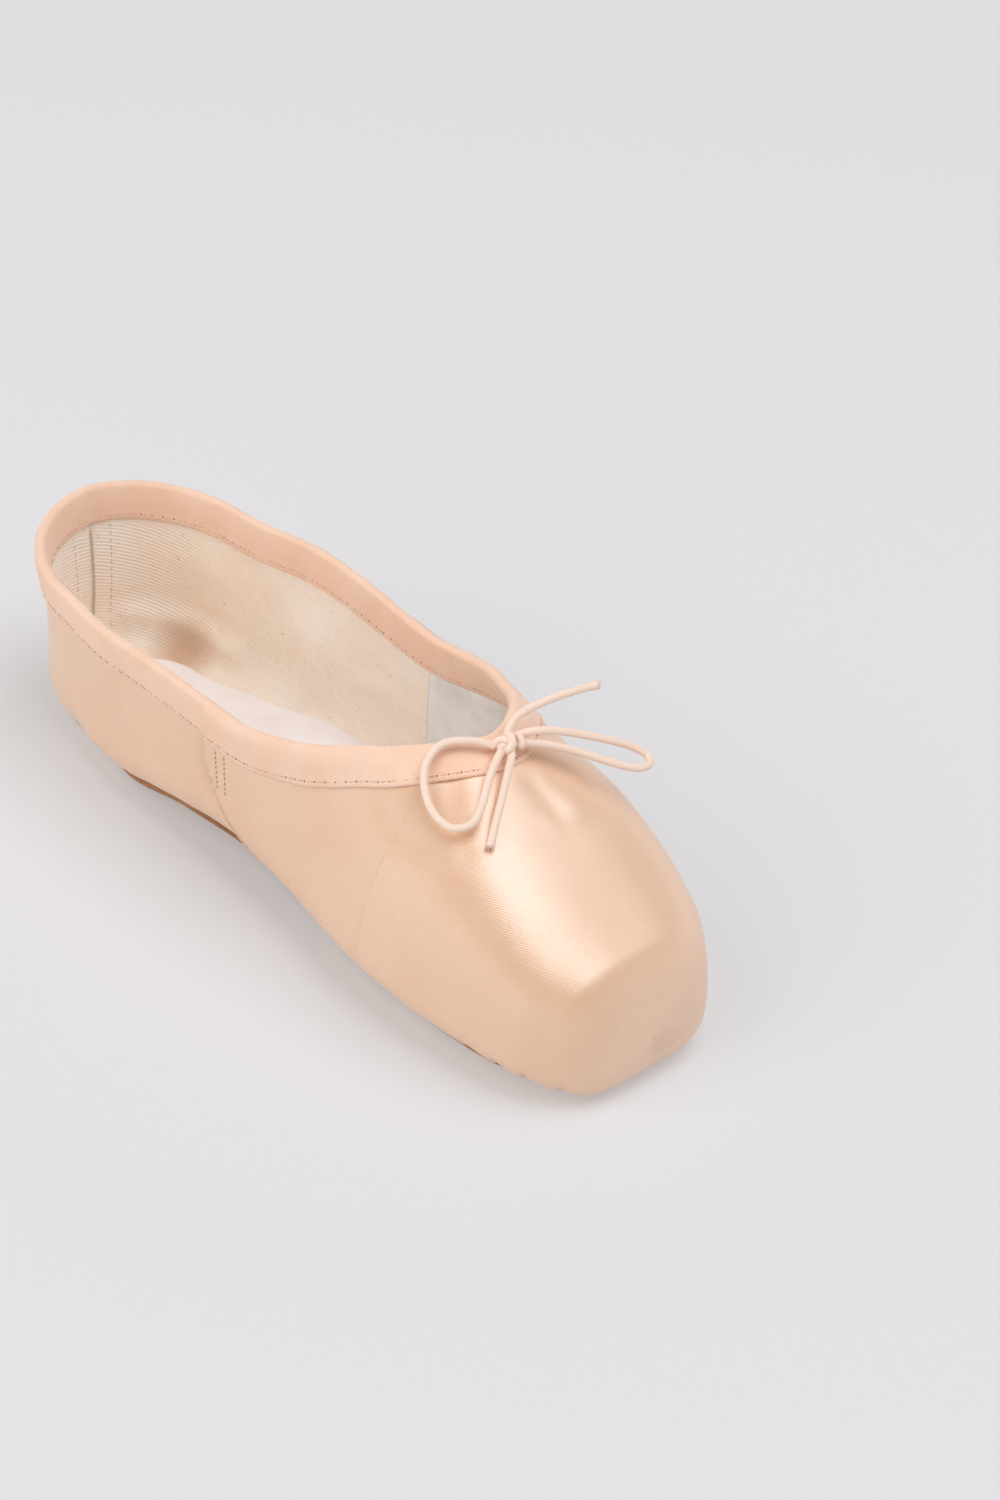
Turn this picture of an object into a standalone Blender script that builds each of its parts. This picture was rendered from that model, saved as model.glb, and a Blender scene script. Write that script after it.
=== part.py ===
"""A pointe shoe that stands empty on its sole, built from the pieces that its maker puts together.

Metres, +Z up, toe towards -Y. The origin is on the floor, under the middle of the shoe.
Upper, binding, outsole and insole are worked out from one form, the last, by its sections.
"""
import bmesh
import bpy
import numpy as np

# Length and where its parts lie
LENGTH = 0.240
VAMP_LENGTH = 0.072
HEEL_DEPTH = 0.028
SEAM_ALONG = 0.106

# Widths of the last
HEEL_WIDTH = 0.062
WAIST_WIDTH = 0.073
BALL_WIDTH = 0.086
PLATFORM_WIDTH = 0.047

# Heights above the sole
HEEL_HEIGHT = 0.058
SIDE_HEIGHT = 0.045
INSTEP_HEIGHT = 0.070
PLATFORM_HEIGHT = 0.0358
BELLY_HEIGHT = 0.018

# Curves of the last
ARCH_LIFT = 0.010
COLLAR_FLARE = 0.006
PLATFORM_EDGE = 0.007
PLATFORM_DOME = 0.001
PLATFORM_LEAN = np.radians(11.0)
LEAN_LENGTH = 0.060

# Thickness of the pieces
QUARTER_WALL = 0.0016
BOX_WALL = 0.0030
STIFFENING_LENGTH = 0.036
STIFFENING_START = 0.0108
SEAM_STEP = 0.0005
SEAM_WIDTH = 0.0008
SOLE_THICKNESS = 0.0020
INSOLE_THICKNESS = 0.0015
BINDING_THICKNESS = 0.0008
BINDING_WIDTH = 0.0098
CORD_DIAMETER = 0.0022
KNOT_SIZE = (0.0060, 0.0050, 0.0044)
CLEARANCE = 0.0003
FOLD_CLEARANCE = 0.0006

# Leather outsole and the edge of the upper that is turned in over it
SOLE_HEEL_WIDTH = 0.046
SOLE_WAIST_WIDTH = 0.059
SOLE_BALL_WIDTH = 0.062
SOLE_MARGIN = 0.014
SOLE_TIP = 0.0216
INSOLE_TIP = 0.0144
TIP_SQUARENESS = 2.4
TURN_IN = 0.011
CORNER_INSET = 0.4

# Number of rings and points
HEEL_RINGS = 7
QUARTER_RINGS = 19
VAMP_RINGS = 9
EDGE_RINGS = 5
FACE_RINGS = 3
CORNER_POINTS = 5
WALL_POINTS = 10
RIM_POINTS = 42
PLATE_RINGS = 26
PLATE_POINTS = 5
PLATE_CROWDING = 1.5
CORD_SPACING = 2.0

THROAT = LENGTH - VAMP_LENGTH
UNDERSIDE = SOLE_THICKNESS + CLEARANCE

# Sections of the last. Columns: place along the shoe, half width, share of the half width that is
# flat underneath, height of the widest line, of the crown and of the collar, flare of the collar,
# lift of the sole, squareness below and above the widest line.
SECTIONS = [
    (0.00 * THROAT, HEEL_DEPTH, 0.50, 1.15 * BELLY_HEIGHT, 1.38 * INSTEP_HEIGHT,
     1.00 * HEEL_HEIGHT, 1.25 * COLLAR_FLARE, 0.0 * ARCH_LIFT, 2.4, 2.6),
    (0.17 * THROAT, 0.50 * HEEL_WIDTH, 0.50, 1.05 * BELLY_HEIGHT, 1.33 * INSTEP_HEIGHT,
     0.93 * HEEL_HEIGHT, 0.90 * COLLAR_FLARE, 0.0 * ARCH_LIFT, 2.4, 2.5),
    (0.33 * THROAT, 0.49 * WAIST_WIDTH, 0.58, 0.92 * BELLY_HEIGHT, 1.26 * INSTEP_HEIGHT,
     1.19 * SIDE_HEIGHT, 1.00 * COLLAR_FLARE, 0.20 * ARCH_LIFT, 2.4, 2.4),
    (0.48 * THROAT, 0.50 * WAIST_WIDTH, 0.66, 0.95 * BELLY_HEIGHT, 1.21 * INSTEP_HEIGHT,
     1.07 * SIDE_HEIGHT, 0.60 * COLLAR_FLARE, 0.78 * ARCH_LIFT, 2.4, 2.5),
    (0.63 * THROAT, 0.50 * WAIST_WIDTH, 0.62, 1.00 * BELLY_HEIGHT, 1.16 * INSTEP_HEIGHT,
     1.00 * SIDE_HEIGHT, 0.36 * COLLAR_FLARE, 1.00 * ARCH_LIFT, 2.4, 2.4),
    (0.77 * THROAT, 0.44 * BALL_WIDTH, 0.48, 1.02 * BELLY_HEIGHT, 1.12 * INSTEP_HEIGHT,
     1.18 * SIDE_HEIGHT, 0.38 * COLLAR_FLARE, 0.72 * ARCH_LIFT, 2.4, 2.1),
    (0.89 * THROAT, 0.475 * BALL_WIDTH, 0.38, 1.02 * BELLY_HEIGHT, 1.09 * INSTEP_HEIGHT,
     0.905 * INSTEP_HEIGHT, 0.20 * COLLAR_FLARE, 0.42 * ARCH_LIFT, 2.3, 1.8),
    (1.00 * THROAT, 0.50 * BALL_WIDTH, 0.34, 1.05 * BELLY_HEIGHT, 1.00 * INSTEP_HEIGHT,
     1.00 * INSTEP_HEIGHT, 0.0, 0.22 * ARCH_LIFT, 2.3, 2.0),
    (THROAT + 0.20 * VAMP_LENGTH, 0.495 * BALL_WIDTH, 0.33, 1.02 * BELLY_HEIGHT, 0.925 * INSTEP_HEIGHT,
     1.00 * INSTEP_HEIGHT, 0.0, 0.10 * ARCH_LIFT, 2.3, 2.4),
    (THROAT + 0.45 * VAMP_LENGTH, 0.47 * BALL_WIDTH, 0.34, 1.00 * BELLY_HEIGHT, 0.80 * INSTEP_HEIGHT,
     1.00 * INSTEP_HEIGHT, 0.0, 0.0, 2.3, 2.8),
    (THROAT + 0.75 * VAMP_LENGTH, 0.75 * PLATFORM_WIDTH, 0.42, 0.90 * BELLY_HEIGHT,
     1.25 * PLATFORM_HEIGHT, 1.00 * INSTEP_HEIGHT, 0.0, 0.0, 2.4, 3.0),
    (LENGTH, 0.50 * PLATFORM_WIDTH, 0.48, 0.92 * BELLY_HEIGHT, 1.00 * PLATFORM_HEIGHT,
     1.00 * INSTEP_HEIGHT, 0.0, 0.0, 2.6, 3.0),
]
COLUMNS = ("at", "half", "flat", "belly", "crown", "collar", "flare", "lift", "low", "top")

# Outline of the leather sole. Columns: place along the shoe, half width.
SOLE_OUTLINE = [
    (0.00 * THROAT, 0.50 * SOLE_HEEL_WIDTH),
    (0.19 * THROAT, 0.50 * SOLE_HEEL_WIDTH),
    (0.34 * THROAT, 0.48 * SOLE_WAIST_WIDTH),
    (0.54 * THROAT, 0.50 * SOLE_WAIST_WIDTH),
    (0.80 * THROAT, 0.49 * SOLE_WAIST_WIDTH),
    (THROAT + 0.15 * VAMP_LENGTH, 0.50 * SOLE_BALL_WIDTH),
    (THROAT + 0.45 * VAMP_LENGTH, 0.47 * SOLE_BALL_WIDTH),
    (LENGTH, 0.34 * SOLE_BALL_WIDTH),
]

# Routes of the drawstring's bow, from the middle of its knot: towards +X, towards the toe, and up
NEAR_LOOP = [(-0.0036, -0.0010, 0.0004), (-0.0085, -0.0055, 0.0016), (-0.0150, -0.0095, 0.0010),
             (-0.0210, -0.0090, -0.0025), (-0.0250, -0.0048, -0.0064), (-0.0272, 0.0016, -0.0096),
             (-0.0264, 0.0080, -0.0108), (-0.0225, 0.0110, -0.0094), (-0.0175, 0.0092, -0.0068),
             (-0.0115, 0.0052, -0.0032), (-0.0068, 0.0026, -0.0008), (-0.0036, 0.0012, 0.0004)]
FAR_LOOP = [(0.0036, -0.0012, 0.0004), (0.0075, 0.0010, 0.0018), (0.0128, 0.0038, 0.0014),
            (0.0195, 0.0072, -0.0006), (0.0262, 0.0110, -0.0030), (0.0322, 0.0146, -0.0056),
            (0.0352, 0.0180, -0.0076), (0.0344, 0.0206, -0.0088), (0.0300, 0.0204, -0.0086),
            (0.0240, 0.0164, -0.0066), (0.0170, 0.0100, -0.0038), (0.0100, 0.0050, -0.0014),
            (0.0036, 0.0018, 0.0002)]
END_UP = [(0.0016, -0.0022, 0.0020), (0.0060, -0.0034, 0.0048), (0.0123, -0.0012, 0.0078),
          (0.0205, 0.0020, 0.0100), (0.0276, 0.0043, 0.0105)]
END_DOWN = [(-0.0016, 0.0030, -0.0006), (-0.0058, 0.0064, -0.0026), (-0.0108, 0.0100, -0.0060),
            (-0.0160, 0.0136, -0.0098), (-0.0208, 0.0170, -0.0141)]


def smooth(places, values, at):
    """A cubic through the rows of a table, with limited slopes so that it never overshoots."""
    places, values, at = (np.asarray(v, float) for v in (places, values, at))
    step = np.diff(places)
    chord = np.diff(values) / step
    slope = np.zeros_like(values)
    both = chord[:-1] + chord[1:]
    rising = chord[:-1] * chord[1:] > 0
    slope[1:-1] = np.where(rising, 2 * chord[:-1] * chord[1:] / np.where(rising, both, 1), 0)
    slope[0] = chord[0]
    slope[-1] = chord[-1]
    i = np.clip(np.searchsorted(places, at) - 1, 0, len(step) - 1)
    t = np.clip((at - places[i]) / step[i], -0.2, 1.0)
    return (values[i] * (1 + 2 * t) * (1 - t) ** 2 + slope[i] * step[i] * t * (1 - t) ** 2
            + values[i + 1] * t * t * (3 - 2 * t) + slope[i + 1] * step[i] * t * t * (t - 1))


def section(along, name):
    """One column of the table of sections, at places along the shoe."""
    column = COLUMNS.index(name)
    return smooth([row[0] for row in SECTIONS], [row[column] for row in SECTIONS], along)


def ease(x):
    """From 0 to 1, level at both ends."""
    x = np.clip(x, 0, 1)
    return x * x * (3 - 2 * x)


def wall_thickness(along):
    """The quarters are thin, and the box from the throat forward is stiff and thick."""
    share = ease((along - THROAT - STIFFENING_START) / STIFFENING_LENGTH)
    return QUARTER_WALL + (BOX_WALL - QUARTER_WALL) * share


def upper_point(along, level):
    """The outer face of the upper.

    along runs from the heel seam to LENGTH, and past it over the flat face of the platform to its
    middle, at LENGTH + PLATFORM_HEIGHT. level is -2 under the middle, -1 where the flat underside
    ends, 0 at the widest line and 1 on the ridge. Each side is a quarter of a superellipse.
    """
    along, level = np.broadcast_arrays(np.asarray(along, float), np.asarray(level, float))
    on_shoe = np.minimum(along, LENGTH)
    s = {name: section(on_shoe, name) for name in COLUMNS[1:]}
    into_edge = np.clip(on_shoe - (LENGTH - PLATFORM_EDGE), 0, PLATFORM_EDGE)
    inset = PLATFORM_EDGE - np.sqrt(PLATFORM_EDGE ** 2 - into_edge ** 2)
    half = s["half"] - inset
    flat = s["flat"] * s["half"] - inset
    belly = s["belly"]
    crown = s["crown"] - inset
    floor = UNDERSIDE + inset
    angle = np.abs(np.clip(level, -1, 1.2)) * np.pi / 2
    power = np.where(level < 0, s["low"], s["top"])
    length = (np.abs(np.cos(angle)) ** power + np.abs(np.sin(angle)) ** power) ** (1 / power)
    out = np.cos(angle) / length
    up = np.sin(angle) / length
    across = np.where(level < 0, flat + (half - flat) * out, half * out)
    across = np.where(level < -1, flat * (level + 2), across)
    height = np.where(level < 0, belly - (belly - floor) * up, belly + (crown - belly) * up)
    rise = np.clip((height - belly) / (s["collar"] - belly), 0, 1.3)
    across = across + s["flare"] * rise ** 2
    lapped = ease((along - SEAM_ALONG) / SEAM_WIDTH) * ease(1.5 + level) * ease(3 - 3 * level)
    across = across + SEAM_STEP * lapped * (1 - inset / PLATFORM_EDGE)
    shrink = 1 - np.clip(along - LENGTH, 0, PLATFORM_HEIGHT) / PLATFORM_HEIGHT
    across = across * shrink
    height = belly + (height - belly) * shrink + s["lift"]
    turn = np.pi / 2 * (1 - np.minimum(on_shoe, HEEL_DEPTH) / HEEL_DEPTH)
    x = across * np.cos(turn)
    y = np.where(on_shoe < HEEL_DEPTH, HEEL_DEPTH - across * np.sin(turn), on_shoe)
    y = y + PLATFORM_DOME * (1 - shrink ** 2)
    lean = np.tan(PLATFORM_LEAN) * np.clip((y - LENGTH) / LEAN_LENGTH + 1, 0, 1.1) ** 2
    y = y - lean * (height - UNDERSIDE)
    return np.stack([x, -y, height], axis=-1)


def rim_level(along):
    """The level of the collar's rim: where the wall reaches the collar's height, and 1 past the throat."""
    belly, crown = section(along, "belly"), section(along, "crown")
    power = section(along, "top")
    rise = np.clip((section(along, "collar") - belly) / (crown - belly), 0, 1)
    level = np.arctan2(rise, (1 - rise ** power) ** (1 / power)) / (np.pi / 2)
    return np.where(along >= THROAT, 1.0, level)


def tip_rounding(share):
    """From 0 at a plate's front end to 1 where its tip is full, as a quarter of a superellipse."""
    share = np.clip(share, 0, 1)
    return (1 - (1 - share) ** TIP_SQUARENESS) ** (1 / TIP_SQUARENESS)


def sole_half(along, margin=0.0):
    """Half width of the leather sole, less a margin, rounded off towards its front end."""
    front = LENGTH - SOLE_MARGIN - margin
    half = smooth([row[0] for row in SOLE_OUTLINE], [row[1] for row in SOLE_OUTLINE], along) - margin
    return half * tip_rounding((front - along) / SOLE_TIP)


def feather_level(along):
    """The level where the upper's underside ends, on top of the sole, or -2 where it closes."""
    opening = sole_half(along, TURN_IN)
    return np.clip(-2 + opening / (section(along, "flat") * section(along, "half")), -2, -1.1)


def even_rim(count):
    """Places along the shoe that are evenly spaced on the rim, from the heel seam to the throat."""
    fine = THROAT * (1 - np.linspace(1, 0, 1500) ** 3)
    points = upper_point(fine, rim_level(fine))
    run = np.concatenate([[0], np.cumsum(np.linalg.norm(np.diff(points, axis=0), axis=1))])
    return np.interp(np.linspace(0, run[-1], count), run, fine)


def ring_places():
    """Where the rings of the upper stand: close at the turns of heel, throat and platform edge."""
    heel = np.linspace(0, HEEL_DEPTH, HEEL_RINGS, endpoint=False)
    quarter = even_rim(QUARTER_RINGS + HEEL_RINGS)
    quarter = quarter[quarter > HEEL_DEPTH]
    quarter = quarter[np.abs(quarter - SEAM_ALONG) > 2 * SEAM_WIDTH]
    seam = SEAM_ALONG + np.array([0.0, SEAM_WIDTH])
    edge_start = LENGTH - PLATFORM_EDGE
    vamp = np.linspace(THROAT, edge_start, VAMP_RINGS + 1)[1:-1]
    edge = edge_start + PLATFORM_EDGE * np.sin(np.linspace(0, np.pi / 2, EDGE_RINGS))
    face = LENGTH + PLATFORM_HEIGHT * np.linspace(0, 1, FACE_RINGS + 1)[1:]
    return np.sort(np.concatenate([heel, quarter, seam, [THROAT], vamp, edge, face]))


def surface_frame(along, level):
    """Point, both slopes and outward normal of the upper's outer face."""
    small = 1e-5
    point = upper_point(along, level)
    by_along = (upper_point(along + small, level) - upper_point(along - small, level)) / (2 * small)
    by_level = (upper_point(along, level + small) - upper_point(along, level - small)) / (2 * small)
    normal = np.cross(by_level, by_along)
    normal = normal / np.linalg.norm(normal, axis=-1, keepdims=True)
    return point, by_along, by_level, normal


def walk_from_rim(along, level, distance, steps=8):
    """Follow the upper's face from the rim, square to it, in short steps that stay on the face."""
    point = upper_point(along, level)
    tangent = np.gradient(point, axis=0)
    tangent[0] = (1, 0, 0)
    tangent[-1] = (-1, 0, 0)
    _, _, _, normal = surface_frame(along, level)
    heading = np.cross(tangent, normal)
    heading = heading * np.where(heading[:, 2:] > 0, -1, 1)
    along, level = along.copy(), level.copy()
    for _ in range(steps):
        _, by_along, by_level, normal = surface_frame(along, level)
        heading = heading - np.sum(heading * normal, axis=-1, keepdims=True) * normal
        heading = heading / np.linalg.norm(heading, axis=-1, keepdims=True)
        aa = np.sum(by_along * by_along, axis=-1)
        al = np.sum(by_along * by_level, axis=-1)
        ll = np.sum(by_level * by_level, axis=-1)
        ha = np.sum(heading * by_along, axis=-1)
        hl = np.sum(heading * by_level, axis=-1)
        scale = distance / steps / (aa * ll - al * al)
        along = along + scale * (ha * ll - hl * al)
        level = np.minimum(level + scale * (hl * aa - ha * al), 1)
    return along, level


def half_object(name, points, material):
    """A mesh from a grid of points, seen from outside with its rows to the right, and its mirror image."""
    rows, columns = points.shape[:2]
    corner = np.arange(rows * columns).reshape(rows, columns)
    faces = np.stack([corner[:-1, :-1], corner[:-1, 1:], corner[1:, 1:], corner[1:, :-1]], axis=-1)
    mesh = bpy.data.meshes.new(name)
    mesh.from_pydata(points.reshape(-1, 3).tolist(), [], faces.reshape(-1, 4).tolist())
    part = bpy.data.objects.new(name, mesh)
    shoe.objects.link(part)
    mesh.materials.append(material)
    weld(part)
    half = part.modifiers.new("other side", "MIRROR")
    half.merge_threshold = 0.00005
    return part


def weld(part):
    """Merge doubles and faces that have shrunk to a line."""
    shape = bmesh.new()
    shape.from_mesh(part.data)
    bmesh.ops.remove_doubles(shape, verts=shape.verts, dist=0.00004)
    shape.to_mesh(part.data)
    shape.free()
    part.data.shade_smooth()


def material(name, colour, roughness):
    """A plain finish with the part's colour."""
    finish = bpy.data.materials.new(name)
    finish.use_nodes = True
    shader = finish.node_tree.nodes["Principled BSDF"]
    shader.inputs["Base Color"].default_value = (*colour, 1.0)
    shader.inputs["Roughness"].default_value = roughness
    shader.inputs["Metallic"].default_value = 0.0
    return finish


def build_upper(satin):
    """Vamp, quarters and box as one hollow wall, open at the collar and over the sole."""
    along = ring_places()
    low = feather_level(along)[:, None]
    corner = np.linspace(-1, 0, CORNER_POINTS + 1) + 0 * low
    wall = rim_level(along)[:, None] * np.linspace(0, 1, WALL_POINTS + 1)[1:]
    levels = np.concatenate([low, corner, wall], axis=1)
    points = upper_point(along[:, None], levels)
    upper = half_object("upper", points, satin)
    thickness = upper.vertex_groups.new(name="thickness")
    for vertex in upper.data.vertices:
        wall = wall_thickness(-vertex.co.y)
        thickness.add([vertex.index], float(wall / BOX_WALL), "REPLACE")
    wall = upper.modifiers.new("wall", "SOLIDIFY")
    wall.thickness = BOX_WALL
    wall.offset = -1
    wall.use_even_offset = True
    wall.vertex_group = "thickness"
    return upper


def build_binding(tape):
    """The drawstring's casing: a tape folded over the rim, a little clear of the wall."""
    along = even_rim(RIM_POINTS)
    level = rim_level(along)
    thick = BINDING_THICKNESS
    outer = FOLD_CLEARANCE
    rows = []
    for distance in (BINDING_WIDTH, 0.5 * BINDING_WIDTH, 0.0):
        at, up = walk_from_rim(along, level, distance)
        point, _, _, normal = surface_frame(at, up)
        inner = wall_thickness(at)[:, None] + FOLD_CLEARANCE
        rows.append((point, normal, inner))
    away = rows[2][0] - rows[1][0]
    away = away / np.linalg.norm(away, axis=1, keepdims=True)
    (low, low_n, low_in), (mid, mid_n, mid_in), (top, top_n, top_in) = rows
    ridge = FOLD_CLEARANCE + thick
    profile = [
        low + outer * low_n, low + (outer + thick) * low_n, mid + (outer + thick) * mid_n,
        top + (outer + thick) * top_n, top + 0.5 * outer * top_n + ridge * away,
        top - (top_in - 0.5 * outer) * top_n + ridge * away, top - (top_in + thick) * top_n,
        mid - (mid_in + thick) * mid_n, low - (low_in + thick) * low_n, low - low_in * low_n,
        mid - mid_in * mid_n, top - top_in * top_n + outer * away, top + outer * top_n + outer * away,
        mid + outer * mid_n, low + outer * low_n,
    ]
    points = np.stack(profile, axis=1)
    points[0, :, 0] = 0
    points[-1, :, 0] = 0
    return half_object("binding", points, tape)


def build_plate(name, half, front, base, thickness, finish):
    """A plate that follows the arch: a half outline across the middle, lifted and made thick."""
    heel = np.linspace(0, HEEL_DEPTH, HEEL_RINGS, endpoint=False)
    ahead = np.linspace(0, 1, PLATE_RINGS)
    along = np.concatenate([heel, HEEL_DEPTH + (front - HEEL_DEPTH) * (1 - (1 - ahead) ** PLATE_CROWDING)])
    share = np.linspace(0, 1, PLATE_POINTS)
    across = half(along)[:, None] * share
    turn = np.pi / 2 * (1 - np.minimum(along, HEEL_DEPTH) / HEEL_DEPTH)[:, None]
    x = across * np.cos(turn)
    y = np.where(along[:, None] < HEEL_DEPTH, HEEL_DEPTH - across * np.sin(turn), along[:, None])
    z = np.broadcast_to((section(along, "lift") + base(along))[:, None], x.shape)
    plate = half_object(name, np.stack([x, -y, z], axis=-1), finish)
    solid = plate.modifiers.new("thickness", "SOLIDIFY")
    solid.thickness = thickness
    solid.offset = -1
    return plate


def insole_half(along):
    """The insole reaches to where the inside of the wall starts to rise."""
    flat = section(along, "flat") * section(along, "half")
    reach = 1 - CLEARANCE / (section(along, "belly") - UNDERSIDE)
    power = section(along, "low")
    corner = (section(along, "half") - flat) * (1 - reach ** power) ** (1 / power)
    front = LENGTH - PLATFORM_EDGE - 2 * BOX_WALL
    half = flat + corner - 2 * FOLD_CLEARANCE - CORNER_INSET * wall_thickness(along)
    return half * tip_rounding((front - along) / INSOLE_TIP)


def knot_centre():
    """The knot sits on the middle of the binding's outer face, at the tip of the throat."""
    rim = even_rim(RIM_POINTS)
    along, level = walk_from_rim(rim, rim_level(rim), 0.5 * BINDING_WIDTH)
    point, _, _, normal = surface_frame(along[-1:], level[-1:])
    stand_off = FOLD_CLEARANCE + BINDING_THICKNESS + CLEARANCE + 0.5 * KNOT_SIZE[2]
    return point[0] + stand_off * normal[0]


def build_knot(cotton):
    """The bow's knot as a plain rounded lump."""
    shape = bmesh.new()
    bmesh.ops.create_uvsphere(shape, u_segments=12, v_segments=8, radius=0.5)
    bmesh.ops.scale(shape, vec=KNOT_SIZE, verts=shape.verts)
    bmesh.ops.translate(shape, vec=knot_centre(), verts=shape.verts)
    mesh = bpy.data.meshes.new("bow_knot")
    shape.to_mesh(mesh)
    shape.free()
    mesh.shade_smooth()
    mesh.materials.append(cotton)
    shoe.objects.link(bpy.data.objects.new("bow_knot", mesh))


def build_cord(name, route, cotton):
    """A round cord along a smooth curve through its route's points."""
    route = np.array(route) * (1, -1, 1) + knot_centre()
    run = np.concatenate([[0], np.cumsum(np.linalg.norm(np.diff(route, axis=0), axis=1))])
    before = np.vstack([2 * route[0] - route[1], route[:-1]])
    after = np.vstack([route[1:], 2 * route[-1] - route[-2]])
    span = np.gradient(run)[:, None]
    slope = (after - before) / 2 / span
    at = np.linspace(0, run[-1], int(run[-1] / (CORD_SPACING * CORD_DIAMETER)) + 2)
    i = np.clip(np.searchsorted(run, at) - 1, 0, len(run) - 2)
    h = (run[i + 1] - run[i])[:, None]
    t = (at[:, None] - run[i][:, None]) / h
    points = (route[i] * (1 + 2 * t) * (1 - t) ** 2 + slope[i] * h * t * (1 - t) ** 2
              + route[i + 1] * t * t * (3 - 2 * t) + slope[i + 1] * h * t * t * (t - 1))
    curve = bpy.data.curves.new(name, "CURVE")
    curve.dimensions = "3D"
    curve.bevel_depth = CORD_DIAMETER / 2
    curve.bevel_resolution = 2
    curve.use_fill_caps = True
    spline = curve.splines.new("POLY")
    spline.points.add(len(points) - 1)
    spline.points.foreach_set("co", np.hstack([points, np.ones((len(points), 1))]).ravel())
    curve.materials.append(cotton)
    shoe.objects.link(bpy.data.objects.new(name, curve))


def centre_on_origin():
    """Put the origin under the middle of the shoe, without the bow."""
    bpy.context.view_layer.update()
    depsgraph = bpy.context.evaluated_depsgraph_get()
    ends = []
    for name in ("upper", "binding", "outsole"):
        mesh = shoe.objects[name].evaluated_get(depsgraph).to_mesh()
        ends += [vertex.co.y for vertex in mesh.vertices]
    middle = (min(ends) + max(ends)) / 2
    for piece in shoe.objects:
        piece.location.y = -middle


for old in list(bpy.data.objects):
    bpy.data.objects.remove(old)
shoe = bpy.data.collections.new("pointe shoe")
bpy.context.scene.collection.children.link(shoe)

satin = material("peach satin", (0.80, 0.58, 0.44), 0.35)
tape = material("cotton tape", (0.78, 0.55, 0.43), 0.80)
leather = material("tan leather", (0.45, 0.26, 0.15), 0.60)
lining = material("white insole", (0.75, 0.72, 0.70), 0.70)
cotton = material("cotton cord", (0.85, 0.66, 0.54), 0.80)

build_upper(satin)
build_binding(tape)
build_plate("outsole", sole_half, LENGTH - SOLE_MARGIN, lambda a: 0 * a, SOLE_THICKNESS, leather)
build_plate("insole", insole_half, LENGTH - PLATFORM_EDGE - 2 * BOX_WALL,
            lambda a: UNDERSIDE + wall_thickness(a) + FOLD_CLEARANCE, INSOLE_THICKNESS, lining)
build_knot(cotton)
build_cord("bow_loop_near", NEAR_LOOP, cotton)
build_cord("bow_loop_far", FAR_LOOP, cotton)
build_cord("bow_end_up", END_UP, cotton)
build_cord("bow_end_down", END_DOWN, cotton)
centre_on_origin()
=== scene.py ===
# %% [markdown]
# # A pointe shoe in satin, from the frame up
#
# A pointe shoe is sewn inside out from satin and cotton drill, stiffened at the toe with paste, and
# then turned, so its outside is one smooth skin. Here we dress a fixed frame of plain solids. Each
# piece takes the place of one solid, in the same metres, and gets the finer shape and the cloth.

import bmesh
import bpy
import numpy as np
from mathutils import Matrix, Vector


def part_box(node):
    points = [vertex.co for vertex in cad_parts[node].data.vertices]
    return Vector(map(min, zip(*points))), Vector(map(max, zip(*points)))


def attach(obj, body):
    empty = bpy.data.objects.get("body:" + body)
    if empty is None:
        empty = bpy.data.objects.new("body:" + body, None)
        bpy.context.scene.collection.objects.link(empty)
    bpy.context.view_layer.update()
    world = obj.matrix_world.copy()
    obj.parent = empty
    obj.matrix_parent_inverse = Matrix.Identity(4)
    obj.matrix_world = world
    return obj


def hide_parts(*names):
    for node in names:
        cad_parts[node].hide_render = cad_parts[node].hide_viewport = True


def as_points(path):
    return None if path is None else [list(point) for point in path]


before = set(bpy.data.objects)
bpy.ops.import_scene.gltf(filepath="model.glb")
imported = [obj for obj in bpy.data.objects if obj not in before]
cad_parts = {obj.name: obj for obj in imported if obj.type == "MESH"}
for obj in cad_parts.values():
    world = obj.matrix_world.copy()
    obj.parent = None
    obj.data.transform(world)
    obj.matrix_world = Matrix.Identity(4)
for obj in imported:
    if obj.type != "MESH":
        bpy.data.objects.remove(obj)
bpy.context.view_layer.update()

BODY = "root"
print("solids in the frame:", ", ".join(sorted(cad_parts)))

# %% [markdown]
# ## The camera
#
# The shoe is seen from above its toe, over its near side. A camera could be placed by trial, but the
# shoe's own outlines fix it: where it stands, how far it is rolled and how long its lens is. We keep
# those as real values, and turn the camera so that its axis runs through the middle of the picture.

# %% The camera
PICTURE_WIDTH, PICTURE_HEIGHT = 1000, 1500
CAMERA_TURN = np.radians(45.0)
CAMERA_RISE = np.radians(37.0)
CAMERA_ROLL = np.radians(5.455)
CAMERA_DISTANCE = 1.066
FOCAL_PIXELS = 3800.0
TARGET = np.array([0.0, -0.0042, 0.025])
TARGET_PIXEL = (359.0, 791.0)
SENSOR = 36.0


def unit(vectors):
    """Vectors divided by their own lengths."""
    return vectors / np.linalg.norm(vectors, axis=-1, keepdims=True)


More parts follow.
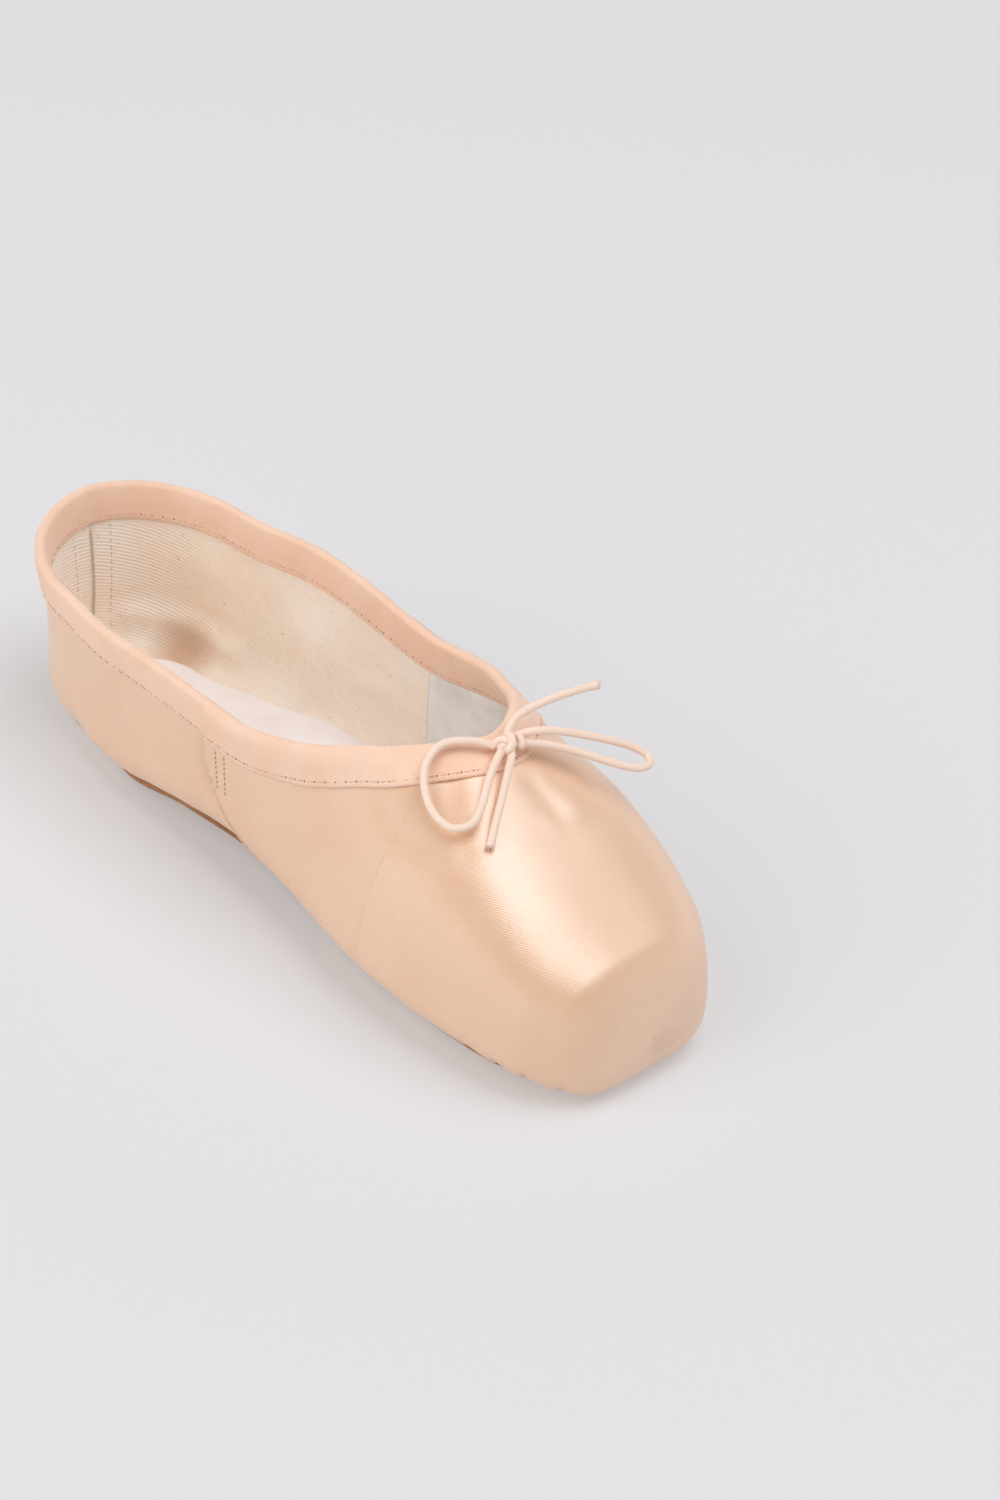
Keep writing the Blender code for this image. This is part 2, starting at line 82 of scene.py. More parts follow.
def make_camera():
    """Stand back from the target along the viewing line, roll, then aim at the picture's middle."""
    back = np.array([-np.sin(CAMERA_TURN) * np.cos(CAMERA_RISE),
                     -np.cos(CAMERA_TURN) * np.cos(CAMERA_RISE), np.sin(CAMERA_RISE)])
    level = np.array([np.cos(CAMERA_TURN), -np.sin(CAMERA_TURN), 0.0])
    upright = np.cross(back, level)
    right = np.cos(CAMERA_ROLL) * level + np.sin(CAMERA_ROLL) * upright
    up = np.cos(CAMERA_ROLL) * upright - np.sin(CAMERA_ROLL) * level
    to_middle = (-FOCAL_PIXELS * back + (PICTURE_WIDTH / 2 - TARGET_PIXEL[0]) * right
                 + (TARGET_PIXEL[1] - PICTURE_HEIGHT / 2) * up)
    axis = unit(-to_middle)
    right = unit(right - np.dot(right, axis) * axis)
    up = np.cross(axis, right)
    lens = bpy.data.cameras.new("camera")
    lens.sensor_width = SENSOR
    lens.lens = FOCAL_PIXELS * SENSOR / PICTURE_HEIGHT
    lens.clip_start, lens.clip_end = 0.05, 20.0
    camera = bpy.data.objects.new("camera", lens)
    bpy.context.scene.collection.objects.link(camera)
    turn = Matrix([[*pair] for pair in zip(right, up, axis)])
    camera.matrix_world = Matrix.Translation(TARGET + CAMERA_DISTANCE * back) @ turn.to_4x4()
    bpy.context.scene.camera = camera
    return camera


camera = make_camera()
print("the camera stands at", [round(v, 3) for v in camera.matrix_world.translation])

# %% [markdown]
# ## Finishes made of nodes
#
# Every cloth on the shoe is woven, and a weave is a pattern at right angles to itself. We read it
# from each piece's own map in metres, so a thread has its real width wherever it runs. A helper adds
# one node and joins its inputs, which keeps each finish down to the few lines that describe it.

# %% Helpers for finishes
def shade(red, green, blue):
    """A colour as a screen shows it, 0 to 255, as the linear light that a shader reads."""
    c = np.array([red, green, blue]) / 255
    linear = np.where(c <= 0.04045, c / 12.92, ((c + 0.055) / 1.055) ** 2.4)
    return (*linear, 1.0)


def node(tree, kind, inputs=(), **settings):
    """Add a node, set it up, and give each input a value or a link."""
    made = tree.nodes.new(kind)
    for name, value in settings.items():
        setattr(made, name, value)
    for name, value in dict(inputs).items():
        if isinstance(value, bpy.types.NodeSocket):
            tree.links.new(value, made.inputs[name])
        else:
            made.inputs[name].default_value = value
    return made


def finish(name, colour, roughness, **shader):
    """A material with one main shader, whose plain values are set on its own sockets."""
    made = bpy.data.materials.new(name)
    made.use_nodes = True
    main = made.node_tree.nodes["Principled BSDF"]
    main.inputs["Base Color"].default_value = colour
    main.inputs["Roughness"].default_value = roughness
    for socket, value in shader.items():
        main.inputs[socket.replace("_", " ")].default_value = value
    return made, made.node_tree, main


def cloth_map(tree, turn=0.0):
    """The piece's own map in metres, turned by an angle in radians."""
    read = node(tree, "ShaderNodeUVMap", uv_map="cloth")
    turned = node(tree, "ShaderNodeMapping", {"Vector": read.outputs["UV"], "Rotation": (0, 0, turn)})
    return turned.outputs["Vector"]


def place(tree):
    """Where a point lies on the shoe, in metres."""
    return node(tree, "ShaderNodeTexCoord").outputs["Object"]


def ribs(tree, where, pitch, waver=0.0):
    """Even ribs across the map, one for each pitch in metres, from 0 in the grooves to 1."""
    made = node(tree, "ShaderNodeTexWave", {
        "Vector": where, "Scale": 2 * np.pi / (20 * pitch), "Distortion": waver,
        "Detail Scale": 0.4, "Detail": 1.0}, bands_direction="X")
    return made.outputs["Fac"]


def speckle(tree, where, size, detail=2.0):
    """Cloudy noise whose patches are about size metres wide."""
    made = node(tree, "ShaderNodeTexNoise", {"Vector": where, "Scale": 1 / size, "Detail": detail})
    return made.outputs["Fac"]


def blend(tree, share, first, second):
    """A colour between two others, by a share from 0 to 1."""
    return node(tree, "ShaderNodeMix", {0: share, 6: first, 7: second}, data_type="RGBA").outputs[2]


def spread(tree, value, low, high, out_low=0.0, out_high=1.0):
    """Stretch the stretch of values from low to high over the range from out_low to out_high."""
    made = node(tree, "ShaderNodeMapRange", {
        "Value": value, "From Min": low, "From Max": high, "To Min": out_low, "To Max": out_high})
    return made.outputs["Result"]


def reckon(tree, operation, first, second):
    """Two values joined by an operation, such as SUBTRACT."""
    return node(tree, "ShaderNodeMath", {0: first, 1: second}, operation=operation).outputs[0]


def times(tree, first, second):
    """The product of two values."""
    return reckon(tree, "MULTIPLY", first, second)


def apart(tree, where, spot):
    """How far a point lies from a spot on the shoe."""
    return node(tree, "ShaderNodeVectorMath", {0: where, 1: spot}, operation="DISTANCE").outputs["Value"]


def relief(tree, main, layers):
    """Stack bumps onto a shader: each layer is a height from 0 to 1, its depth in metres and strength."""
    below = None
    for height, depth, strength in layers:
        inputs = {"Height": height, "Distance": depth, "Strength": strength}
        if below is not None:
            inputs["Normal"] = below
        below = node(tree, "ShaderNodeBump", inputs).outputs["Normal"]
    tree.links.new(below, main.inputs["Normal"])


# %% [markdown]
# ## Surfaces from grids of points
#
# A loft could be drawn by hand with edit tools, but a shoe's forms follow rules. So every piece is a
# grid of points worked out with numpy, a row for each step along and a column for each step round.
# Several grids are sewn into one mesh, and their shared edges are then merged.

# %% Helpers that sew grids into a piece
MERGE = 0.00001


def sew(name, grids, material, stands_for=()):
    """One piece from grids of (points, map, turned).

    A grid's faces look towards the side from which its rows run right to left as columns run up,
    and turned makes them look the other way.
    """
    corners, maps, faces, start = [], [], [], 0
    for points, where, turned in grids:
        rows, columns = points.shape[:2]
        at = start + np.arange(rows * columns).reshape(rows, columns)
        quads = np.stack([at[:-1, :-1], at[:-1, 1:], at[1:, 1:], at[1:, :-1]], axis=-1).reshape(-1, 4)
        faces.append(quads[:, ::-1] if turned else quads)
        corners.append(points.reshape(-1, 3))
        maps.append(where.reshape(-1, 2))
        start += rows * columns
    corners, maps, faces = (np.concatenate(part) for part in (corners, maps, faces))
    mesh = bpy.data.meshes.new(name)
    mesh.from_pydata(corners.tolist(), [], faces.tolist())
    layer = mesh.uv_layers.new(name="cloth")
    layer.data.foreach_set("uv", maps[faces.ravel()].ravel())
    shape = bmesh.new()
    shape.from_mesh(mesh)
    bmesh.ops.remove_doubles(shape, verts=shape.verts, dist=MERGE)
    bmesh.ops.dissolve_degenerate(shape, edges=shape.edges, dist=MERGE / 2)
    volume = shape.calc_volume(signed=True)
    open_edges = sum(1 for edge in shape.edges if len(edge.link_faces) != 2)
    shape.to_mesh(mesh)
    shape.free()
    mesh.shade_smooth()
    mesh.materials.append(material)
    made = bpy.data.objects.new(name, mesh)
    bpy.context.scene.collection.objects.link(made)
    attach(made, BODY)
    if stands_for:
        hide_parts(*stands_for)
    print(f"{name}: {len(mesh.polygons)} faces, {volume * 1e6:.3f} ml, {open_edges} open edges")
    return made


def running_length(points):
    """How long a line of points is up to each of them."""
    return np.concatenate([[0], np.cumsum(np.linalg.norm(np.diff(points, axis=0), axis=1))])


def path_length(path):
    """The length of a line through points."""
    return float(np.linalg.norm(np.diff(path, axis=0), axis=1).sum())


def rounded(distance, reach):
    """From 0 at an end to 1 at a reach from it, along a quarter circle."""
    return np.sqrt(np.clip(1 - np.clip(1 - distance / reach, 0, 1) ** 2, 0, 1))


def tube_grid(path, radius, sides, away, weave=None):
    """A round tube: rings square to the path, measured from a direction that it never runs along.

    Each ring point is the path's point plus radius times the cosine of its angle along one normal
    and the sine along the other. The map runs along the path, then round it.
    """
    tangent = unit(np.gradient(path, axis=0))
    across = unit(np.cross(tangent, away))
    over = np.cross(across, tangent)
    run = running_length(path)
    angle = np.linspace(0, 2 * np.pi, sides + 1)
    wide = np.broadcast_to(np.asarray(radius, float).reshape(-1, 1), (len(path), sides + 1))
    if weave is not None:
        wide = wide * weave(run[:, None], angle[None, :])
    points = (path[:, None] + wide[..., None] * (np.cos(angle)[None, :, None] * across[:, None]
                                                 + np.sin(angle)[None, :, None] * over[:, None]))
    maps = np.stack(np.broadcast_arrays(run[:, None], angle[None, :] * np.max(radius)), axis=-1)
    return points, maps, True


# %% [markdown]
# ## The drawstring's bow
#
# A cotton drawstring runs in the casing round the collar, and its two ends are tied over the throat.
# It is a braid: eight bundles of thread go round it, four each way, over and under. The routes of
# loops and ends are listed from the knot, and a smooth curve is drawn through their points.

# %% The cotton of the drawstring
CORD_DIAMETER = 0.0022
BRAID_PITCH = 0.0032
BRAID_DEPTH = 0.055


def cotton_cord():
    """Pale peach cotton: painted highlight on the bundles, painted shade in the grooves between them."""
    made, tree, main = finish("cotton cord", shade(249, 214, 190), 0.85, Sheen_Weight=0.25,
                              Sheen_Roughness=0.5, Specular_IOR_Level=0.25)
    where = cloth_map(tree)
    left = ribs(tree, cloth_map(tree, np.radians(38)), 0.00040)
    right = ribs(tree, cloth_map(tree, np.radians(-38)), 0.00040)
    thread = times(tree, left, right)
    fluff = speckle(tree, where, 0.0005)
    # Painted highlight on the braid's bundles and painted shade in its grooves, following its relief.
    light = blend(tree, spread(tree, thread, 0.0, 0.5), shade(250, 214, 188), shade(255, 238, 224))
    tree.links.new(blend(tree, spread(tree, fluff, 0.3, 0.7, 0.0, 0.5), light, shade(255, 232, 214)),
                   main.inputs["Base Color"])
    relief(tree, main, [(thread, 0.00012, 0.6), (fluff, 0.0001, 0.4)])
    return made


CORD_COTTON = cotton_cord()

# %% Routes of the bow
# Each point is measured from the knot's middle: towards +X, towards the toe, and up.
NEAR_LOOP = [(-0.0036, -0.0010, 0.0004), (-0.0085, -0.0055, 0.0016), (-0.0150, -0.0095, 0.0010),
             (-0.0210, -0.0090, -0.0025), (-0.0250, -0.0048, -0.0064), (-0.0272, 0.0016, -0.0096),
             (-0.0264, 0.0080, -0.0108), (-0.0225, 0.0110, -0.0094), (-0.0175, 0.0092, -0.0068),
             (-0.0115, 0.0052, -0.0032), (-0.0068, 0.0026, -0.0008), (-0.0036, 0.0012, 0.0004)]
FAR_LOOP = [(0.0036, -0.0012, 0.0004), (0.0075, 0.0010, 0.0018), (0.0128, 0.0038, 0.0014),
            (0.0195, 0.0072, -0.0006), (0.0262, 0.0110, -0.0030), (0.0322, 0.0146, -0.0056),
            (0.0352, 0.0180, -0.0076), (0.0344, 0.0206, -0.0088), (0.0300, 0.0204, -0.0086),
            (0.0240, 0.0164, -0.0066), (0.0170, 0.0100, -0.0038), (0.0100, 0.0050, -0.0014),
            (0.0036, 0.0018, 0.0002)]
END_UP = [(0.0004, -0.0006, 0.0006), (0.0016, -0.0022, 0.0020), (0.0060, -0.0034, 0.0048),
          (0.0123, -0.0012, 0.0078), (0.0205, 0.0020, 0.0100), (0.0276, 0.0043, 0.0105)]
END_DOWN = [(-0.0002, 0.0004, 0.0006), (-0.0016, 0.0030, -0.0006), (-0.0058, 0.0064, -0.0026),
            (-0.0108, 0.0100, -0.0060), (-0.0160, 0.0136, -0.0098), (-0.0208, 0.0170, -0.0141)]
SURFACE_UP = unit(np.array([0.0, -0.41, 0.91]))
knot_low, knot_high = (np.array(corner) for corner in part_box("bow_knot"))
KNOT = (knot_low + knot_high) / 2


def curve_through(route, step):
    """A smooth curve through a route's points, read at even steps.

    Each stretch is a cubic, and its slope at a point is the chord between that point's neighbours.
    """
    route = np.array(route) * (1, -1, 1) + KNOT
    run = running_length(route)
    before = np.vstack([2 * route[0] - route[1], route[:-1]])
    after = np.vstack([route[1:], 2 * route[-1] - route[-2]])
    slope = (after - before) / 2 / np.gradient(run)[:, None]
    at = np.linspace(0, run[-1], int(run[-1] / step) + 2)
    i = np.clip(np.searchsorted(run, at) - 1, 0, len(run) - 2)
    h = (run[i + 1] - run[i])[:, None]
    t = (at[:, None] - run[i][:, None]) / h
    return (route[i] * (1 + 2 * t) * (1 - t) ** 2 + slope[i] * h * t * (1 - t) ** 2
            + route[i + 1] * t * t * (3 - 2 * t) + slope[i + 1] * h * t * t * (t - 1))


def braid(run, angle):
    """Radius of a braid, as a share: four bundles each way, so two waves round it are multiplied."""
    twist = 2 * np.pi * run / BRAID_PITCH
    return 1 + BRAID_DEPTH * np.cos(2 * angle + twist) * np.cos(2 * angle - twist)


# %% Loops and ends
CORD_STEP = 0.00028
CORD_SIDES = 20
END_ROUND = 0.25 * CORD_DIAMETER
CUT_SPLAY = 0.16
CUT_STRETCH = 0.0022
CUT_CLOSING = 0.0002
FIBRES = 46
FIBRE_LENGTH = 0.0008
FIBRE_SHARES = (0.4, 1.0)
FIBRE_ROOT = 0.0004
FIBRE_LEAN = (0.1, 0.7)
FIBRE_WOBBLE = 0.00022
FIBRE_BEND = np.array([0, 0.2, 0.6, 1.0])
FIBRE_RADII = np.array([0.000002, 0.00012, 0.0001, 0.000002])
rng = np.random.default_rng(7)


def fibres_at(path):
    """Loose threads at a cut end: thin four-sided spikes in a disc, leaning outwards at random."""
    end, heading = path[-1], unit(path[-1] - path[-4])
    across = unit(np.cross(heading, SURFACE_UP))
    over = np.cross(across, heading)
    grids = []
    for _ in range(FIBRES):
        turn, out = rng.uniform(0, 2 * np.pi), np.sqrt(rng.uniform(0, 1))
        side = np.cos(turn) * across + np.sin(turn) * over
        root = end - FIBRE_ROOT * heading + side * out * CORD_DIAMETER * 0.5
        lean = unit(heading + side * out * rng.uniform(*FIBRE_LEAN))
        length = FIBRE_ROOT + FIBRE_LENGTH * rng.uniform(*FIBRE_SHARES)
        line = root + np.linspace(0, 1, len(FIBRE_BEND))[:, None] * length * lean
        line = line + FIBRE_BEND[:, None] ** 2 * rng.normal(0, FIBRE_WOBBLE, 3)
        grids.append(tube_grid(line, FIBRE_RADII, 4, SURFACE_UP))
    return grids


def make_cord(name, route, node_name, cut):
    """A braid along a route, closed at both ends, with a splayed and frayed end where it was cut."""
    path = curve_through(route, CORD_STEP)
    run = running_length(path)
    from_end = run[-1] - run
    radius = CORD_DIAMETER / 2 * rounded(run, END_ROUND)
    if cut:
        radius = radius * (1 + CUT_SPLAY * np.clip(1 - from_end / CUT_STRETCH, 0, 1) ** 2)
        radius = radius * np.clip(from_end / CUT_CLOSING, 0, 1)
    else:
        radius = radius * rounded(from_end, END_ROUND)
    grids = [tube_grid(path, radius, CORD_SIDES, SURFACE_UP, braid)]
    if cut:
        grids += fibres_at(path)
    made = sew(name, grids, CORD_COTTON, [node_name])
    return made, path


LOOPS = [("drawstring_loop_near", NEAR_LOOP, "bow_loop_near", False),
         ("drawstring_loop_far", FAR_LOOP, "bow_loop_far", False),
         ("drawstring_end_up", END_UP, "bow_end_up", True),
         ("drawstring_end_down", END_DOWN, "bow_end_down", True)]
cords = [make_cord(*row) for row in LOOPS]

# %% The knot between them
KNOT_TURNS = [
    [(-0.0030, 0.0016, -0.0004), (-0.0020, 0.0024, 0.0010), (-0.0006, 0.0018, 0.0020),
     (0.0006, 0.0000, 0.0024), (0.0010, -0.0018, 0.0016), (0.0008, -0.0026, 0.0000)],
    [(-0.0042, -0.0012, 0.0000), (-0.0028, -0.0018, 0.0010), (-0.0012, -0.0010, 0.0014),
     (0.0000, 0.0006, 0.0010), (0.0010, 0.0020, 0.0000)],
    [(0.0016, 0.0024, -0.0006), (0.0026, 0.0022, 0.0008), (0.0032, 0.0006, 0.0016),
     (0.0030, -0.0012, 0.0010), (0.0020, -0.0022, -0.0002)],
    [(0.0040, 0.0010, 0.0000), (0.0024, 0.0004, 0.0004), (0.0000, 0.0000, 0.0002),
     (-0.0022, 0.0000, 0.0002), (-0.0040, 0.0004, 0.0002)],
]


KNOT_ROUND = 0.4 * CORD_DIAMETER
KNOT_AWAY = unit(np.array([0.9, 0.3, -0.2]))


def knot_grids():
    """The turns of the knot: short stretches of the same braid, wound over each other."""
    for turn in KNOT_TURNS:
        path = curve_through(turn, CORD_STEP)
        run = np.linspace(0, path_length(path), len(path))
        cap = rounded(np.minimum(run, run[-1] - run), KNOT_ROUND)
        yield tube_grid(path, 0.5 * CORD_DIAMETER * cap, CORD_SIDES, KNOT_AWAY, braid)


knot = sew("drawstring_knot", list(knot_grids()), CORD_COTTON, ["bow_knot"])
for (made, path), (name, _, _, cut) in zip(cords, LOOPS):
    tuple(path[0])
    path_length(path)
    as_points(path[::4])
    print(f"{name}: {1000 * path_length(path):.1f} mm of cord")

# %% [markdown]
# ## The last
#
# A shoemaker pulls the cloth over a last, and so do we: one function gives a point on the outer
# face for each place along the shoe and each level round it. Its sections come from a short table
# of shares of named sizes, the same sizes that the frame's solids have.

# %% Sizes of the last
LENGTH = 0.240
VAMP_LENGTH = 0.072
HEEL_DEPTH = 0.028
SEAM_ALONG = 0.106
HEEL_WIDTH = 0.062
WAIST_WIDTH = 0.073
BALL_WIDTH = 0.086
PLATFORM_WIDTH = 0.047
HEEL_HEIGHT = 0.058
SIDE_HEIGHT = 0.045
INSTEP_HEIGHT = 0.070
PLATFORM_HEIGHT = 0.0358
BELLY_HEIGHT = 0.018
ARCH_LIFT = 0.010
COLLAR_FLARE = 0.006
PLATFORM_EDGE = 0.007
PLATFORM_DOME = 0.001
PLATFORM_LEAN = np.radians(11.0)
LEAN_LENGTH = 0.060
QUARTER_WALL = 0.0016
BOX_WALL = 0.0030
SOLE_THICKNESS = 0.0020
INSOLE_THICKNESS = 0.0015
BINDING_THICKNESS = 0.0008
BINDING_WIDTH = 0.0098
CLEARANCE = 0.0003
FOLD_CLEARANCE = 0.0006
SOLE_HEEL_WIDTH = 0.046
SOLE_WAIST_WIDTH = 0.059
SOLE_BALL_WIDTH = 0.062
SOLE_MARGIN = 0.014
TURN_IN = 0.011
STIFFENING_LENGTH = 0.036
STIFFENING_START = 0.0108
SOLE_TIP = 0.0216
INSOLE_TIP = 0.0144
TIP_SQUARENESS = 2.4
CORNER_INSET = 0.4
THROAT = LENGTH - VAMP_LENGTH
UNDERSIDE = SOLE_THICKNESS + CLEARANCE
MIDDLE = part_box("outsole")[1].y + HEEL_DEPTH - 0.5 * SOLE_HEEL_WIDTH

# Columns: place along, half width, flat share, heights of widest line, crown and collar, flare of
# the collar, lift of the sole, squareness below and above the widest line.
SECTIONS = [
    (0.00 * THROAT, HEEL_DEPTH, 0.50, 1.15 * BELLY_HEIGHT, 1.38 * INSTEP_HEIGHT,
     1.00 * HEEL_HEIGHT, 1.25 * COLLAR_FLARE, 0.0 * ARCH_LIFT, 2.4, 2.6),
    (0.17 * THROAT, 0.50 * HEEL_WIDTH, 0.50, 1.05 * BELLY_HEIGHT, 1.33 * INSTEP_HEIGHT,
     0.93 * HEEL_HEIGHT, 0.90 * COLLAR_FLARE, 0.0 * ARCH_LIFT, 2.4, 2.5),
    (0.33 * THROAT, 0.49 * WAIST_WIDTH, 0.58, 0.92 * BELLY_HEIGHT, 1.26 * INSTEP_HEIGHT,
     1.19 * SIDE_HEIGHT, 1.00 * COLLAR_FLARE, 0.20 * ARCH_LIFT, 2.4, 2.4),
    (0.48 * THROAT, 0.50 * WAIST_WIDTH, 0.66, 0.95 * BELLY_HEIGHT, 1.21 * INSTEP_HEIGHT,
     1.07 * SIDE_HEIGHT, 0.60 * COLLAR_FLARE, 0.78 * ARCH_LIFT, 2.4, 2.5),
    (0.63 * THROAT, 0.50 * WAIST_WIDTH, 0.62, 1.00 * BELLY_HEIGHT, 1.16 * INSTEP_HEIGHT,
     1.00 * SIDE_HEIGHT, 0.36 * COLLAR_FLARE, 1.00 * ARCH_LIFT, 2.4, 2.4),
    (0.77 * THROAT, 0.44 * BALL_WIDTH, 0.48, 1.02 * BELLY_HEIGHT, 1.12 * INSTEP_HEIGHT,
     1.18 * SIDE_HEIGHT, 0.38 * COLLAR_FLARE, 0.72 * ARCH_LIFT, 2.4, 2.1),
    (0.89 * THROAT, 0.475 * BALL_WIDTH, 0.38, 1.02 * BELLY_HEIGHT, 1.09 * INSTEP_HEIGHT,
     0.905 * INSTEP_HEIGHT, 0.20 * COLLAR_FLARE, 0.42 * ARCH_LIFT, 2.3, 1.8),
    (1.00 * THROAT, 0.50 * BALL_WIDTH, 0.34, 1.05 * BELLY_HEIGHT, 1.00 * INSTEP_HEIGHT,
     1.00 * INSTEP_HEIGHT, 0.0, 0.22 * ARCH_LIFT, 2.3, 2.0),
    (THROAT + 0.20 * VAMP_LENGTH, 0.495 * BALL_WIDTH, 0.33, 1.02 * BELLY_HEIGHT, 0.925 * INSTEP_HEIGHT,
     1.00 * INSTEP_HEIGHT, 0.0, 0.10 * ARCH_LIFT, 2.3, 2.4),
    (THROAT + 0.45 * VAMP_LENGTH, 0.47 * BALL_WIDTH, 0.34, 1.00 * BELLY_HEIGHT, 0.80 * INSTEP_HEIGHT,
     1.00 * INSTEP_HEIGHT, 0.0, 0.0, 2.3, 2.8),
    (THROAT + 0.75 * VAMP_LENGTH, 0.75 * PLATFORM_WIDTH, 0.42, 0.90 * BELLY_HEIGHT,
     1.25 * PLATFORM_HEIGHT, 1.00 * INSTEP_HEIGHT, 0.0, 0.0, 2.4, 3.0),
    (LENGTH, 0.50 * PLATFORM_WIDTH, 0.48, 0.92 * BELLY_HEIGHT, 1.00 * PLATFORM_HEIGHT,
     1.00 * INSTEP_HEIGHT, 0.0, 0.0, 2.6, 3.0),
]
COLUMNS = ("at", "half", "flat", "belly", "crown", "collar", "flare", "lift", "low", "top")
SOLE_OUTLINE = [
    (0.00 * THROAT, 0.50 * SOLE_HEEL_WIDTH),
    (0.19 * THROAT, 0.50 * SOLE_HEEL_WIDTH),
    (0.34 * THROAT, 0.48 * SOLE_WAIST_WIDTH),
    (0.54 * THROAT, 0.50 * SOLE_WAIST_WIDTH),
    (0.80 * THROAT, 0.49 * SOLE_WAIST_WIDTH),
    (THROAT + 0.15 * VAMP_LENGTH, 0.50 * SOLE_BALL_WIDTH),
    (THROAT + 0.45 * VAMP_LENGTH, 0.47 * SOLE_BALL_WIDTH),
    (LENGTH, 0.34 * SOLE_BALL_WIDTH),
]
print(f"the heel's end lies {1000 * MIDDLE:.1f} mm behind the origin")


# %% The last as a function
def smooth(places, values, at):
    """A cubic through a table's rows, with slopes limited so that it never overshoots."""
    places, values, at = (np.asarray(v, float) for v in (places, values, at))
    step = np.diff(places)
    chord = np.diff(values) / step
    slope = np.zeros_like(values)
    both = chord[:-1] + chord[1:]
    rising = chord[:-1] * chord[1:] > 0
    slope[1:-1] = np.where(rising, 2 * chord[:-1] * chord[1:] / np.where(rising, both, 1), 0)
    slope[0], slope[-1] = chord[0], chord[-1]
    i = np.clip(np.searchsorted(places, at) - 1, 0, len(step) - 1)
    t = np.clip((at - places[i]) / step[i], -0.2, 1.0)
    return (values[i] * (1 + 2 * t) * (1 - t) ** 2 + slope[i] * step[i] * t * (1 - t) ** 2
            + values[i + 1] * t * t * (3 - 2 * t) + slope[i + 1] * step[i] * t * t * (t - 1))


def section(along, name):
    """One column of the table of sections, at places along the shoe."""
    column = COLUMNS.index(name)
    return smooth([row[0] for row in SECTIONS], [row[column] for row in SECTIONS], along)


def ease(x):
    """From 0 to 1, level at both ends."""
    x = np.clip(x, 0, 1)
    return x * x * (3 - 2 * x)


def wall_thickness(along):
    """The quarters are thin, and the box from the throat forward is stiff and thick."""
    stiff = ease((along - THROAT - STIFFENING_START) / STIFFENING_LENGTH)
    return QUARTER_WALL + (BOX_WALL - QUARTER_WALL) * stiff


def last_point(along, level):
    """The outer face, on the +X side, with y measured from the heel's end towards -Y.

    Level -2 is under the middle, -1 the end of the flat underside, 0 the widest line and 1 the
    ridge. Each side is a quarter of a superellipse, where the powers of the shares across and up
    add to 1. Past the full length the rings shrink over the flat platform towards its middle.
    """
    along, level = np.broadcast_arrays(np.asarray(along, float), np.asarray(level, float))
    on_shoe = np.minimum(along, LENGTH)
    s = {name: section(on_shoe, name) for name in COLUMNS[1:]}
    into_edge = np.clip(on_shoe - (LENGTH - PLATFORM_EDGE), 0, PLATFORM_EDGE)
    inset = PLATFORM_EDGE - np.sqrt(PLATFORM_EDGE ** 2 - into_edge ** 2)
    half, flat = s["half"] - inset, s["flat"] * s["half"] - inset
    belly, crown, floor = s["belly"], s["crown"] - inset, UNDERSIDE + inset
    angle = np.abs(np.clip(level, -1, 1.2)) * np.pi / 2
    power = np.where(level < 0, s["low"], s["top"])
    length = (np.abs(np.cos(angle)) ** power + np.abs(np.sin(angle)) ** power) ** (1 / power)
    out, up = np.cos(angle) / length, np.sin(angle) / length
    across = np.where(level < 0, flat + (half - flat) * out, half * out)
    across = np.where(level < -1, flat * (level + 2), across)
    height = np.where(level < 0, belly - (belly - floor) * up, belly + (crown - belly) * up)
    rise = np.clip((height - belly) / (s["collar"] - belly), 0, 1.3)
    across = across + s["flare"] * rise ** 2
    shrink = 1 - np.clip(along - LENGTH, 0, PLATFORM_HEIGHT) / PLATFORM_HEIGHT
    across = across * shrink
    height = belly + (height - belly) * shrink + s["lift"]
    turn = np.pi / 2 * (1 - np.minimum(on_shoe, HEEL_DEPTH) / HEEL_DEPTH)
    x = across * np.cos(turn)
    y = np.where(on_shoe < HEEL_DEPTH, HEEL_DEPTH - across * np.sin(turn), on_shoe)
    y = y + PLATFORM_DOME * (1 - shrink ** 2)
    lean = np.tan(PLATFORM_LEAN) * np.clip((y - LENGTH) / LEAN_LENGTH + 1, 0, 1.1) ** 2
    y = y - lean * (height - UNDERSIDE)
    return np.stack([x, MIDDLE - y, height], axis=-1)


def surface_frame(along, level):
    """Point, both slopes and outward normal, from small steps along and round."""
    small = 1e-5
    inside = np.minimum(along, LENGTH + 0.97 * PLATFORM_HEIGHT)
    by_along = (last_point(inside + small, level) - last_point(inside - small, level)) / (2 * small)
    by_level = (last_point(inside, level + small) - last_point(inside, level - small)) / (2 * small)
    return last_point(along, level), by_along, by_level, unit(np.cross(by_level, by_along))


def level_at(along, height):
    """The level where the wall reaches a height over the sole's lift: the last's curve read backwards."""
    belly, crown, power = (section(along, name) for name in ("belly", "crown", "top"))
    rise = np.clip((height - belly) / (crown - belly), 0, 1)
    return np.arctan2(rise, (1 - rise ** power) ** (1 / power)) / (np.pi / 2)


def rim_level(along):
    """The collar's rim: where the wall reaches the collar's height, and the ridge past the throat."""
    return np.where(along >= THROAT, 1.0, level_at(along, section(along, "collar")))


def tip_rounding(share):
    """From 0 at a plate's front end to 1 where it has its full width, along a superellipse."""
    return (1 - (1 - np.clip(share, 0, 1)) ** TIP_SQUARENESS) ** (1 / TIP_SQUARENESS)


def sole_half(along, margin=0.0):
    """Half width of the leather sole, less a margin, rounded off towards its front end."""
    front = LENGTH - SOLE_MARGIN - margin
    half = smooth([row[0] for row in SOLE_OUTLINE], [row[1] for row in SOLE_OUTLINE], along) - margin
    return half * tip_rounding((front - along) / SOLE_TIP)


